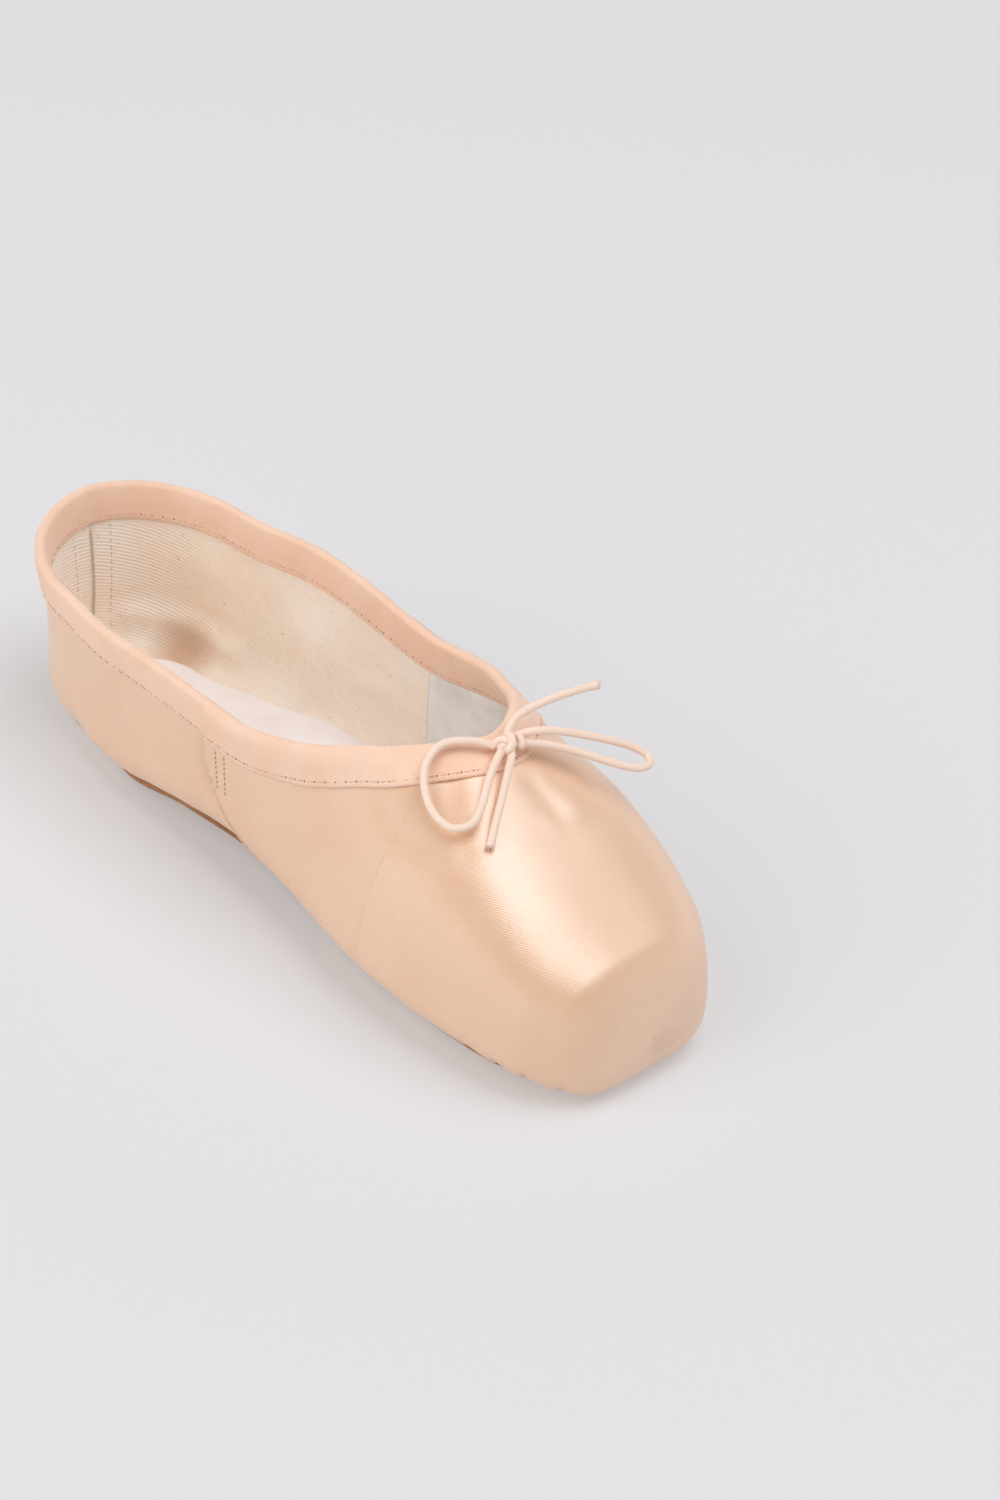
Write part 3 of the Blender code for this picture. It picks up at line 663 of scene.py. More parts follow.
def feather_level(along):
    """The level where the underside ends, on top of the sole, or -2 where it closes."""
    opening = sole_half(along, TURN_IN)
    return np.clip(-2 + opening / (section(along, "flat") * section(along, "half")), -2, -1.1)


def even_rim(count):
    """Places along the shoe that are evenly spaced on the rim, from the heel seam to the throat."""
    fine = THROAT * (1 - np.linspace(1, 0, 3000) ** 3)
    points = last_point(fine, rim_level(fine))
    run = running_length(points)
    return np.interp(np.linspace(0, run[-1], count), run, fine), run[-1]


def walk_from_rim(along, level, distance, steps=8):
    """Follow the face down from the rim, square to it, in short steps that stay on the face."""
    point = last_point(along, level)
    tangent = np.gradient(point, axis=0)
    tangent[0], tangent[-1] = (1, 0, 0), (-1, 0, 0)
    heading = np.cross(tangent, surface_frame(along, level)[3])
    heading = heading * np.where(heading[:, 2:] > 0, -1, 1)
    along, level = along.copy(), level.copy()
    for _ in range(steps):
        _, by_along, by_level, normal = surface_frame(along, level)
        heading = unit(heading - np.sum(heading * normal, axis=-1, keepdims=True) * normal)
        aa, al, ll = (np.sum(a * b, axis=-1) for a, b in
                      ((by_along, by_along), (by_along, by_level), (by_level, by_level)))
        ha, hl = np.sum(heading * by_along, axis=-1), np.sum(heading * by_level, axis=-1)
        scale = distance / steps / (aa * ll - al * al)
        along = along + scale * (ha * ll - hl * al)
        level = np.minimum(level + scale * (hl * aa - ha * al), 1)
    return along, level


# %% [markdown]
# ## Folds, pleats and the side seam
#
# Satin lies over the stiff box without a wrinkle, but it is gathered in pleats under the toe, dips
# where the drawstring pulls at the throat and folds over beside each side seam. Cloth could be
# simulated, but these marks have fixed places, so each is listed one by one: a line on the shoe, a
# width and a depth. The height falls off from the line as a bell, with a faint ridge beside it.

# %% Folds, listed one by one
def bell(value, centre, width):
    """A bell of height 1: exp(-q), with q the squared distance from its centre over its squared width."""
    return np.exp(-((value - centre) / width) ** 2)


# Each fold: the side (-1 near, 1 far), its width, its depth inwards, and its line's points,
# which are places along as shares of the length, and levels.
SATIN_FOLDS = [
    (-1, 0.0040, 0.0006, [(0.372, 0.62), (0.380, 0.42), (0.400, 0.20), (0.420, 0.00)]),
    (1, 0.0022, -0.0010, [(0.400, 0.60), (0.410, 0.40), (0.425, 0.10), (0.450, -0.40)]),
    (1, 0.0048, 0.0004, [(0.762, 0.965), (0.785, 0.955), (0.800, 0.95)]),
    (1, 0.0044, -0.0002, [(0.806, 0.985), (0.802, 0.90), (0.800, 0.80)]),
    (1, 0.0060, 0.0004, [(0.765, 0.84), (0.785, 0.76), (0.790, 0.66)]),
    (-1, 0.0052, 0.0004, [(0.715, 0.74), (0.745, 0.66), (0.780, 0.60)]),
    (-1, 0.0060, 0.0005, [(0.640, 0.50), (0.690, 0.46), (0.740, 0.50)]),
    (-1, 0.0050, 0.0004, [(0.300, 0.52), (0.318, 0.20), (0.330, -0.20)]),
    (-1, 0.0040, 0.0005, [(0.205, 0.46), (0.215, 0.15), (0.215, -0.25)]),
    (-1, 0.0038, -0.0009, [(0.170, 0.44), (0.175, 0.15), (0.175, -0.25)]),
    (-1, 0.0034, 0.0005, [(0.120, 0.42), (0.130, 0.12), (0.130, -0.25)]),
    (-1, 0.0034, -0.0007, [(0.245, 0.44), (0.262, 0.15), (0.262, -0.25)]),
    (1, 0.0045, 0.0005, [(0.230, 0.46), (0.240, 0.15), (0.245, -0.25)]),
    (1, 0.0045, -0.0008, [(0.130, 0.42), (0.135, 0.10), (0.140, -0.25)]),
]
LINING_FOLDS = [
    (1, 0.0050, 0.0006, [(0.155, 0.40), (0.170, 0.20), (0.188, -0.15), (0.200, -0.60)]),
    (1, 0.0090, -0.0016, [(0.085, 0.32), (0.105, 0.15)]),
    (1, 0.0080, -0.0024, [(0.235, 0.36), (0.250, 0.10), (0.272, -0.30)]),
    (1, 0.0050, -0.0020, [(0.320, 0.20), (0.365, 0.28), (0.430, 0.26)]),
    (1, 0.0045, 0.0006, [(0.310, 0.02), (0.360, 0.08), (0.430, 0.04)]),
    (1, 0.0050, -0.0018, [(0.030, -0.18), (0.080, -0.22), (0.140, -0.34)]),
    (1, 0.0035, 0.0006, [(0.030, -0.50), (0.080, -0.55), (0.140, -0.60)]),
    (-1, 0.0060, 0.0008, [(0.170, 0.50), (0.190, 0.10), (0.200, -0.40)]),
]


def fold_height(points, folds):
    """Sum of all folds' heights at points: each is its depth times a bell of the distance to its line.

    The bell, (1 - 0.9 q) exp(-q) with q the squared distance over the squared width, dips below
    nothing at its foot, which raises the faint ridge beside the trough.
    """
    total = np.zeros(points.shape[:-1])
    for side, width, depth, line in folds:
        line = np.array(line)
        knots = last_point(line[:, 0] * LENGTH, line[:, 1]) * (side, 1, 1)
        nearest = np.full(points.shape[:-1], np.inf)
        for start, end in zip(knots[:-1], knots[1:]):
            run = end - start
            share = np.clip(np.sum((points - start) * run, axis=-1) / np.dot(run, run), 0, 1)
            nearest = np.minimum(nearest, np.sum((points - start - share[..., None] * run) ** 2, axis=-1))
        q = nearest / width ** 2
        total -= depth * (1 - 0.9 * q) * np.exp(-q)
    return total


# %% Pleats under the toe, and the side seam
PLEAT_ANGLE = np.radians(16.0)
PLEAT_DEPTH = 0.0018
PLEAT_CENTRE = 0.205
PLEAT_TOP, PLEAT_FADE = 0.0145, 0.0110
PLEAT_FRONT_SHARE = 0.05
PLEAT_SIDE_START, PLEAT_SIDE_TURN = 0.55, 0.40
PLEAT_LAST, PLEAT_LAST_FADE = np.radians(112.0), 0.2
PLEAT_OFFSET, PLEAT_UNEVEN = 0.20, 0.10
PLEAT_CREST = 0.90
SEAM_LAP = 0.0954
SEAM_BEND = 35.0
SEAM_TURN = 0.041
SEAM_STEP = 0.0009
SEAM_WIDTH = 0.0008
SEAM_LEVEL, SEAM_MELT = 0.008, 0.055
# A lip and a valley beside the side seam: height or depth, place past the seam, width.
SEAM_LIP = (0.0005, 0.0012, 0.0011)
SEAM_VALLEY = (0.0004, -0.0016, 0.0020)
# The lining's back seam: depth, width, reach from the heel.
BACK_GROOVE = (0.0004, 0.0007, 0.02)
# Soft swells: depth, then the length and the slant of each of two waves.
SATIN_SLACK = (0.00012, 0.0031, 2.0, 0.0072, 1.7)
LINING_SLACK = (0.00018, 0.0045, 2.4, 0.0110, 2.0)
TAPE_COVER, TAPE_RELEASE = 0.12, 0.14
# A fold is at most this share of the wall deep.
DEEPEST = 0.36


def seam_line(height):
    """Where the vamp's cloth laps over the quarter: steep under the tape, then it sweeps forward."""
    return SEAM_LAP + SEAM_BEND * np.maximum(SEAM_TURN - height, 0) ** 2


def lap_height(past_seam):
    """The lapped cloth stands a step above the quarter, and the step melts away towards the toe."""
    return SEAM_STEP * ease(past_seam / SEAM_WIDTH) * ease(1 - (past_seam - SEAM_LEVEL) / SEAM_MELT)


def pleat_height(points):
    """Pleats fan out from a point under the toe: each rises slowly, then drops where it is folded.

    The phase is the angle round that point over the angle between pleats, and the drop is the
    phase's fraction to the third power, rounded where it falls.
    """
    along = MIDDLE - points[..., 1]
    angle = np.arctan2(np.abs(points[..., 0]), along - PLEAT_CENTRE)
    to_side = ease((angle - PLEAT_SIDE_START) / PLEAT_SIDE_TURN)
    to_side = PLEAT_FRONT_SHARE + (1 - PLEAT_FRONT_SHARE) * to_side
    phase = angle / PLEAT_ANGLE + PLEAT_OFFSET + PLEAT_UNEVEN * np.sin(5 * angle)
    part = phase - np.floor(phase)
    fold = part ** 3 * (1 - ease((part - PLEAT_CREST) / (1 - PLEAT_CREST)))
    reach = ease((PLEAT_TOP - points[..., 2]) / PLEAT_FADE)
    reach = reach * ease((PLEAT_LAST - angle) / PLEAT_LAST_FADE)
    return -PLEAT_DEPTH * fold * reach * to_side


def slack_height(along, level, slack):
    """Two slow waves along the wall, slanted with the level, multiplied into soft uneven swells."""
    depth, first, first_slant, second, second_slant = slack
    return (depth * np.sin(along / first + first_slant * level)
            * np.sin(along / second - second_slant * level))


def below_tape(along, level):
    """From 0 under the casing to 1 where the cloth is free to fold, and 1 past the throat."""
    return np.where(along < THROAT, ease((rim_level(along) - level - TAPE_COVER) / TAPE_RELEASE), 1.0)


def satin_height(points, along, level):
    """All that lifts or sinks the satin: folds, pleats, the lapped seam and the quarter's slack."""
    height = fold_height(points, SATIN_FOLDS) + pleat_height(points)
    past_seam = MIDDLE - points[..., 1] - seam_line(points[..., 2])
    on_wall = ease(1.5 + level) * ease((THROAT - along) / 0.02 + 1)
    dip = on_wall * (SEAM_LIP[0] * bell(past_seam, *SEAM_LIP[1:])
                     - SEAM_VALLEY[0] * bell(past_seam, *SEAM_VALLEY[1:]))
    slack = slack_height(along, level, SATIN_SLACK)
    slack = slack * ease((SEAM_ALONG - along) / 0.02) * ease(along / 0.015) * ease(1.5 + level)
    loose = (height + dip + slack) * below_tape(along, level)
    return np.maximum(loose, -DEEPEST * wall_thickness(along)) + lap_height(past_seam)


def lining_height(points, along, level):
    """The lining's folds, its groove at the back seam, and its slack."""
    height = fold_height(points, LINING_FOLDS)
    depth, width, reach = BACK_GROOVE
    groove = depth * bell(points[..., 0], 0, width) * ease(1 - along / reach)
    slack = slack_height(along, level, LINING_SLACK)
    slack = slack * ease((THROAT - along) / 0.03) * ease(along / 0.015)
    loose = (height + slack) * below_tape(along, level)
    return np.maximum(loose, -DEEPEST * wall_thickness(along)) - groove


# %% [markdown]
# ## The upper: a satin skin over a drill lining
#
# The wall has two cloths. We make each as a closed shell with an outer and an inner face, cut from
# the same function at two depths. Rings stand closer at the heel's turn and the platform's edge,
# where the form turns fastest.

# %% The wall's two cloths
HEEL_RINGS, QUARTER_RINGS, VAMP_RINGS, EDGE_RINGS, FACE_RINGS = 34, 92, 74, 16, 16
UNDER_POINTS, CORNER_POINTS, WALL_POINTS = 9, 24, 54
SATIN_SHARE, LINING_START = 0.45, 0.50
LINING_SCALE = 0.62


def ring_places(scale=1.0):
    """Where rings stand along the shoe, from the heel seam to the platform's middle."""
    heel = np.linspace(0, HEEL_DEPTH, int(HEEL_RINGS * scale), endpoint=False)
    quarter = even_rim(int((QUARTER_RINGS + HEEL_RINGS) * scale))[0]
    edge_start = LENGTH - PLATFORM_EDGE
    vamp = np.linspace(THROAT, edge_start, int(VAMP_RINGS * scale))[1:-1]
    edge = edge_start + PLATFORM_EDGE * np.sin(np.linspace(0, np.pi / 2, int(EDGE_RINGS * scale)))
    face = LENGTH + PLATFORM_HEIGHT * np.linspace(0, 1, int(FACE_RINGS * scale))[1:]
    return np.concatenate([heel, quarter[quarter >= HEEL_DEPTH], vamp, edge, face])


def ring_levels(along, scale=1.0):
    """Levels of each ring's points, from the feather edge under the foot to the rim or ridge."""
    low, high = feather_level(along)[:, None], rim_level(along)[:, None]
    under = low + (-1 - low) * np.linspace(0, 1, int(UNDER_POINTS * scale), endpoint=False)
    corner = -1 + np.linspace(0, 1, int(CORNER_POINTS * scale), endpoint=False) + 0 * low
    wall = high * np.linspace(0, 1, int(WALL_POINTS * scale))
    return np.concatenate([under, corner, wall], axis=1)


def make_shell(name, from_share, to_share, height, outer_is_seen, scale, material, stands_for=()):
    """A cloth of the wall as a closed shell between two depths, which are shares of the wall.

    The seen face carries the folds. The map runs along the shoe and, from the rim or ridge, down
    each side. Narrow strips close the shell at the collar's rim and at the feather edge.
    """
    along = ring_places(scale)
    levels = ring_levels(along, scale)
    spots = np.broadcast_to(along[:, None], levels.shape)
    base, _, _, normal = surface_frame(spots, levels)
    normal[0, :, 0] = 0
    normal[-1] = (0, *normal[-1, :, 1:].mean(axis=0))
    normal = unit(normal)
    wall = wall_thickness(spots)[..., None]
    open_rim = along <= THROAT
    open_sole = feather_level(along) > -2 + 1e-6
    open_sole[1:] |= open_sole[:-1].copy()
    grids = []
    for side in (-1, 1):
        flip = np.array([side, 1, 1])
        point, out = base * flip, normal * flip
        lift = height(point, spots, levels)[..., None]
        outer = point + out * ((lift if outer_is_seen else 0) - from_share * wall)
        inner = point - out * (to_share * wall + (0 if outer_is_seen else lift))
        step = np.linalg.norm(np.diff(point, axis=1), axis=-1)
        down = np.concatenate([np.cumsum(step[:, ::-1], axis=1)[:, ::-1], 0 * step[:, :1]], axis=1)
        maps = np.stack([spots, side * down], axis=-1)
        grids.append((outer, maps, side < 0))
        grids.append((inner, maps, side > 0))
        for column, rows, turned in ((-1, open_rim, side < 0), (0, open_sole, side > 0)):
            strip = np.stack([outer[rows, column], inner[rows, column]], axis=1)
            where = np.stack([maps[rows, column], maps[rows, column]], axis=1)
            grids.append((strip, where, turned))
    return sew(name, grids, material, stands_for)


# %% [markdown]
# Satin floats most of its warp threads on the face, so it shines in a broad soft band and shows
# only a very fine twill line. The colour is a peach pink, a little deeper along the twill line, with
# painted shade in a band beside the lapped edge of each side seam.
# Drill is a plain cream cotton with a strong diagonal rib and dark specks of seed in it.

# %% Satin and drill
# Middle of the painted shade in the hollow where the far wall meets the insole, above the heel.
HOLLOW_SHADE_SPOT = (0.0205, MIDDLE - 0.0195, 0.0065)
# Middle of a darker, browner patch on the far inner wall near the heel.
BROWNER_SPOT = (0.0300, MIDDLE - 0.0270, 0.0280)
# Painted shade beside the side seam's lapped edge: its weight, then where it rises and falls past the seam.
LAP_SHADE = 0.40
LAP_SHADE_START, LAP_SHADE_END = (-0.0045, -0.0002), (0.0001, 0.0006)


def lap_shade_share(tree, where):
    """Share of painted shade: from 0 to 1 towards the lapped edge on the quarter's side, by the curve of
    seam_line.
    """
    parts = node(tree, "ShaderNodeSeparateXYZ", {"Vector": where}).outputs
    drop = reckon(tree, "MAXIMUM", reckon(tree, "SUBTRACT", SEAM_TURN, parts["Z"]), 0.0)
    sweep = times(tree, times(tree, drop, drop), SEAM_BEND)
    past = reckon(tree, "SUBTRACT", reckon(tree, "SUBTRACT", MIDDLE - SEAM_LAP, parts["Y"]), sweep)
    return times(tree, spread(tree, past, *LAP_SHADE_START), spread(tree, past, *LAP_SHADE_END, 1.0, 0.0))


def peach_satin():
    """Smooth sheen with a fine diagonal line, faint clouds of tone, slight unevenness, and painted shade by
    the lapped seam.
    """
    made, tree, main = finish("peach satin", shade(232, 192, 160), 0.40, IOR=1.90, Metallic=0.03,
                              Specular_IOR_Level=1.0, Sheen_Weight=0.10, Sheen_Roughness=0.35,
                              Coat_Weight=0.60, Coat_Roughness=0.32)
    where = place(tree)
    cloud = speckle(tree, where, 0.035)
    line = ribs(tree, cloth_map(tree, np.radians(52)), 0.00055, 1.5)
    yarn = speckle(tree, cloth_map(tree), 0.0009, 3.0)
    tone = blend(tree, spread(tree, cloud, 0.35, 0.65), shade(240, 191, 149), shade(244, 200, 162))
    tone = blend(tree, spread(tree, line, 0.0, 0.6, 0.30, 0.0), tone, shade(222, 172, 134))
    # Painted shade in a band along the lapped edge, where the vamp's cloth laps over the quarter.
    tone = blend(tree, times(tree, lap_shade_share(tree, where), LAP_SHADE), tone, shade(205, 150, 112))
    tree.links.new(tone, main.inputs["Base Color"])
    tree.links.new(spread(tree, yarn, 0.3, 0.7, 0.34, 0.42), main.inputs["Roughness"])
    relief(tree, main, [(speckle(tree, where, 0.016), 0.0009, 0.10), (yarn, 0.00006, 0.25),
                        (line, 0.00006, 0.45)])
    return made


def cream_drill():
    """A diagonal rib a millimetre wide, slubs, dark specks, a darker brown patch, and painted shade in the
    hollow above the heel.
    """
    made, tree, main = finish("cotton drill", shade(232, 212, 184), 0.90, Specular_IOR_Level=0.2,
                              Sheen_Weight=0.15, Sheen_Roughness=0.6)
    where = place(tree)
    rib = ribs(tree, cloth_map(tree, np.radians(68)), 0.00105, 2.0)
    cloud = speckle(tree, where, 0.020)
    slub = speckle(tree, cloth_map(tree), 0.0014, 3.0)
    tone = blend(tree, spread(tree, cloud, 0.35, 0.65), shade(254, 238, 222), shade(255, 245, 233))
    tone = blend(tree, spread(tree, rib, 0.0, 0.7, 0.35, 0.0), tone, shade(240, 212, 186))
    tone = blend(tree, spread(tree, slub, 0.55, 0.75, 0.0, 0.5), tone, shade(253, 244, 230))
    # Darker and browner towards a spot on the far inner wall near the heel.
    browner = spread(tree, apart(tree, where, BROWNER_SPOT), 0.034, 0.010, 0.0, 0.30)
    tone = blend(tree, browner, tone, shade(244, 214, 182))
    # Painted shade: brown in the hollow at the foot of the wall, above the heel.
    hollow_shade = spread(tree, apart(tree, where, HOLLOW_SHADE_SPOT), 0.012, 0.003, 0.0, 0.70)
    tone = blend(tree, hollow_shade, tone, shade(205, 158, 120))
    seed = speckle(tree, where, 0.0010, 0.0)
    tone = blend(tree, spread(tree, seed, 0.83, 0.88, 0.0, 0.5), tone, shade(150, 128, 104))
    tree.links.new(tone, main.inputs["Base Color"])
    relief(tree, main, [(cloud, 0.0008, 0.15), (slub, 0.00015, 0.4), (rib, 0.00022, 0.55)])
    return made


SATIN, DRILL = peach_satin(), cream_drill()
make_shell("satin_upper", 0.0, SATIN_SHARE, satin_height, True, 1.0, SATIN, ["upper"])
make_shell("drill_lining", LINING_START, 1.0, lining_height, False, LINING_SCALE, DRILL)

# %% [markdown]
# ## The casing round the collar
#
# A cotton tape is folded over the rim and sewn through, and the drawstring runs inside it. The fold
# is a profile of points carried along the rim: down the outside, over the top as a half circle, and
# down the inside. The needle pulls it in a little at each stitch.

# %% The folded tape
RIM_STEPS = 460
FACE_STEPS = 9
TOP_STEPS = 9
STITCH_PITCH = 0.0033
STITCH_FROM_RIM = 0.0083
TAPE_GAP = 0.00015
TAPE_INNER_GAP = 0.3 * TAPE_GAP
TAPE_EDGE, TAPE_EDGE_LENGTH = 0.55, 0.0012
TAPE_CROWDING = 1.3
STITCH_WIDTH, STITCH_PULL, STITCH_PULSE = 0.0009, 0.00016, 0.00010
ROLL_HEIGHT, ROLL_PLACE, ROLL_WIDTH = 0.00032, 0.0036, 0.0022
WAVER, WAVER_WAVES = 0.00010, (0.0021, 0.0057)
INSIDE_PULL = 0.7
FOLD_FLATNESS = 0.9
LINER_TOP, LINER_LIFT = 0.55, 0.0001
JUST_BELOW = 0.001
rim_along, RIM_LENGTH = even_rim(RIM_STEPS)
rim_run = np.linspace(0, RIM_LENGTH, RIM_STEPS)


def rim_rows(distance):
    """The wall at a distance below the rim: outer point, normal, thickness, and the seam's step."""
    at, level = walk_from_rim(rim_along, rim_level(rim_along), distance)
    point, _, _, normal = surface_frame(at, level)
    lapped = lap_height(at - seam_line(point[:, 2]))
    return point, normal, wall_thickness(at)[:, None], lapped[:, None]


def pull(distance):
    """How far the tape stands in at its stitches, and out in a soft roll over the drawstring."""
    stitch = STITCH_PULL + STITCH_PULSE * np.cos(2 * np.pi * rim_run / STITCH_PITCH)
    roll = ROLL_HEIGHT * bell(distance, ROLL_PLACE, ROLL_WIDTH)
    waver = WAVER * np.sin(rim_run / WAVER_WAVES[0]) * np.sin(rim_run / WAVER_WAVES[1])
    return (roll + waver - stitch * bell(distance, STITCH_FROM_RIM, STITCH_WIDTH))[:, None]


def tape_profile():
    """The closed profile of the fold at every step of the rim, and its map."""
    outside, inside, lining_side, wall_side = [], [], [], []
    distances = BINDING_WIDTH * (1 - np.linspace(1, 0, FACE_STEPS) ** TAPE_CROWDING)
    for distance in distances[::-1]:
        point, normal, wall, lapped = rim_rows(distance)
        edge = BINDING_THICKNESS * np.clip(TAPE_EDGE + (BINDING_WIDTH - distance) / TAPE_EDGE_LENGTH, 0, 1)
        outside.append(point + normal * (TAPE_GAP + lapped + edge + pull(distance)))
        inside.append(point - normal * (wall + TAPE_GAP + edge + INSIDE_PULL * pull(distance)))
        wall_side.append(point + normal * (TAPE_INNER_GAP + lapped))
        lining_side.append(point - normal * (wall + TAPE_INNER_GAP))
    point, normal, wall, _ = rim_rows(0.0)
    away = unit(point - rim_rows(JUST_BELOW)[0])
    centre = point - normal * wall / 2
    swell = BINDING_THICKNESS + TAPE_GAP + 0.5 * wall + pull(0.0)
    turn = np.linspace(0, np.pi, TOP_STEPS + 2)[1:-1]
    over = [centre + swell * (np.cos(a) * normal + FOLD_FLATNESS * np.sin(a) * away) for a in turn]
    under = [centre + way * LINER_TOP * wall * normal + LINER_LIFT * away for way in (-1, 1)]
    rows = outside + over + inside[::-1] + lining_side + under + wall_side[::-1]
    points = np.stack(rows + [outside[0]], axis=1)
    points[0, :, 0] = 0
    points[-1, :, 0] = 0
    round_it = running_length(points[RIM_STEPS // 2])
    maps = np.stack(np.broadcast_arrays(rim_run[:, None], round_it[None, :]), axis=-1)
    return points, maps


def cotton_tape():
    """A matte twill tape, pinker than the satin: two sets of fine ribs make its small checks."""
    made, tree, main = finish("cotton tape", shade(240, 196, 168), 0.82, Specular_IOR_Level=0.25,
                              Sheen_Weight=0.3, Sheen_Roughness=0.5)
    left = ribs(tree, cloth_map(tree, np.radians(45)), 0.00075, 0.6)
    right = ribs(tree, cloth_map(tree, np.radians(-45)), 0.00075, 0.6)
    check = times(tree, left, right)
    cloud = speckle(tree, place(tree), 0.012)
    fluff = speckle(tree, cloth_map(tree), 0.0007)
    tone = blend(tree, spread(tree, cloud, 0.35, 0.65), shade(250, 212, 184), shade(253, 221, 199))
    tone = blend(tree, spread(tree, check, 0.0, 0.45, 0.45, 0.0), tone, shade(234, 182, 150))
    tone = blend(tree, spread(tree, check, 0.5, 0.9, 0.0, 0.35), tone, shade(252, 224, 204))
    tree.links.new(tone, main.inputs["Base Color"])
    relief(tree, main, [(cloud, 0.0005, 0.15), (fluff, 0.0001, 0.35), (check, 0.00012, 0.5)])
    return made


fold_points, fold_maps = tape_profile()
sew("binding_tape", [(fold_points, fold_maps, False), (fold_points * (-1, 1, 1), fold_maps * (-1, 1), True)],
    cotton_tape(), ["binding"])

# %% [markdown]
# ## Sole and insole
#
# The leather sole is a thin plate with a rounded edge that follows the arch. A plain extrusion would
# have a sharp edge, so the plate is made of rings: each is the outline moved in by a small distance,
# and the first few drop away as a quarter circle to round the edge, above and below.

# %% Plates with a rounded edge
PLATE_EDGE_POINTS = 260
PLATE_INSETS = (0.0, 0.06, 0.2, 0.42, 0.7, 1.0, 1.6, 3.0, 6.0)
PLATE_CORE_RINGS = 9
PLATE_ROUND = 0.46
INSOLE_FRONT = LENGTH - PLATFORM_EDGE - 2 * BOX_WALL


def insole_half(along):
    """The insole reaches to where the inside of the wall starts to rise."""
    flat = section(along, "flat") * section(along, "half")
    reach = 1 - CLEARANCE / (section(along, "belly") - UNDERSIDE)
    power = section(along, "low")
    corner = (section(along, "half") - flat) * (1 - reach ** power) ** (1 / power)
    half = flat + corner - 2 * FOLD_CLEARANCE - CORNER_INSET * wall_thickness(along)
    return half * tip_rounding((INSOLE_FRONT - along) / INSOLE_TIP)


def half_outline(half, front):
    """The plate's edge on one side, from the heel's middle to the front tip, at even steps."""
    along = HEEL_DEPTH * np.linspace(0, 1, 200, endpoint=False)
    ahead = HEEL_DEPTH + (front - HEEL_DEPTH) * (1 - np.linspace(1, 0, 900) ** 2)
    along = np.concatenate([along, ahead])
    turn = np.pi / 2 * (1 - np.minimum(along, HEEL_DEPTH) / HEEL_DEPTH)
    x = half(along) * np.cos(turn)
    y = np.where(along < HEEL_DEPTH, HEEL_DEPTH - half(along) * np.sin(turn), along)
    run = running_length(np.stack([x, y], axis=1))
    even = np.linspace(0, run[-1], PLATE_EDGE_POINTS)
    return np.interp(even, run, x), np.interp(even, run, y)


def make_plate(name, half, front, base, thickness, material, node_name):
    """Rings from the rounded edge to the middle line, above and below, on both sides."""
    x, y = half_outline(half, front)
    spine = np.clip(y, HEEL_DEPTH, front - 0.5 * SOLE_BALL_WIDTH)
    reach = np.hypot(x, y - spine)
    radius = PLATE_ROUND * thickness
    first = np.array(PLATE_INSETS) * radius
    inset = np.minimum(first[None, :], reach[:, None] * np.linspace(0, 0.5, len(first))[None, :] ** 0.5)
    inset[:, 1:] = np.minimum(inset[:, 1:], reach[:, None])
    core = inset[:, -1:] + (reach[:, None] - inset[:, -1:]) * np.linspace(0, 1, PLATE_CORE_RINGS + 1)[1:]
    inset = np.concatenate([inset, core], axis=1)
    share = 1 - inset / np.maximum(reach, 1e-9)[:, None]
    px = x[:, None] * share
    py = spine[:, None] + (y - spine)[:, None] * share
    drop = radius * (1 - rounded(inset, radius))
    floor = section(py, "lift") + base(py)
    top = np.stack([px, MIDDLE - py, floor + thickness - drop], axis=-1)
    bottom = np.stack([px, MIDDLE - py, floor + drop], axis=-1)
    edge = np.stack([top[:, 0], bottom[:, 0]], axis=1)
    grids = []
    for side in (-1, 1):
        flip = np.array([side, 1, 1])
        for points, turned in ((top, side > 0), (bottom, side < 0), (edge, side < 0)):
            grids.append((points * flip, (points * flip)[..., :2], not turned))
    return sew(name, grids, material, [node_name])


def sole_leather():
    """Tan split leather: a fine grain and darker blotches."""
    made, tree, main = finish("sole leather", shade(176, 122, 80), 0.62, Specular_IOR_Level=0.35)
    where = place(tree)
    cloud, grain = speckle(tree, where, 0.014, 4.0), speckle(tree, where, 0.0010, 4.0)
    tone = blend(tree, spread(tree, cloud, 0.35, 0.65), shade(158, 106, 68), shade(190, 138, 96))
    tone = blend(tree, spread(tree, grain, 0.40, 0.62, 0.35, 0.0), tone, shade(120, 76, 46))
    tree.links.new(tone, main.inputs["Base Color"])
    tree.links.new(spread(tree, grain, 0.3, 0.7, 0.52, 0.74), main.inputs["Roughness"])
    relief(tree, main, [(cloud, 0.0006, 0.2), (grain, 0.00016, 0.45)])
    return made


def insole_cloth():
    """Smooth off-white cloth with a very fine weave and a faint mottle."""
    made, tree, main = finish("insole cloth", shade(236, 230, 226), 0.80, Specular_IOR_Level=0.25)
    where = place(tree)
    cloud, fine = speckle(tree, where, 0.018), speckle(tree, where, 0.0007, 2.0)
    tone = blend(tree, spread(tree, cloud, 0.35, 0.65), shade(242, 234, 230), shade(248, 243, 240))
    tree.links.new(tone, main.inputs["Base Color"])
    relief(tree, main, [(cloud, 0.0006, 0.2), (fine, 0.00008, 0.3)])
    return made


make_plate("leather_sole", sole_half, LENGTH - SOLE_MARGIN, lambda along: 0 * along, SOLE_THICKNESS,
           sole_leather(), "outsole")
make_plate("insole_cloth", insole_half, INSOLE_FRONT,
           lambda along: UNDERSIDE + wall_thickness(along) + FOLD_CLEARANCE, INSOLE_THICKNESS,
           insole_cloth(), "insole")

# %% [markdown]
# ## Stitches
#
# A row of stitches is one short shape repeated. Copies could be instanced, but here each row is one
# array: a spindle's points, turned and moved to every stitch at once, and sewn into a single mesh.

# %% Rows of stitches
SPINDLE_RINGS, SPINDLE_SIDES = 6, 6


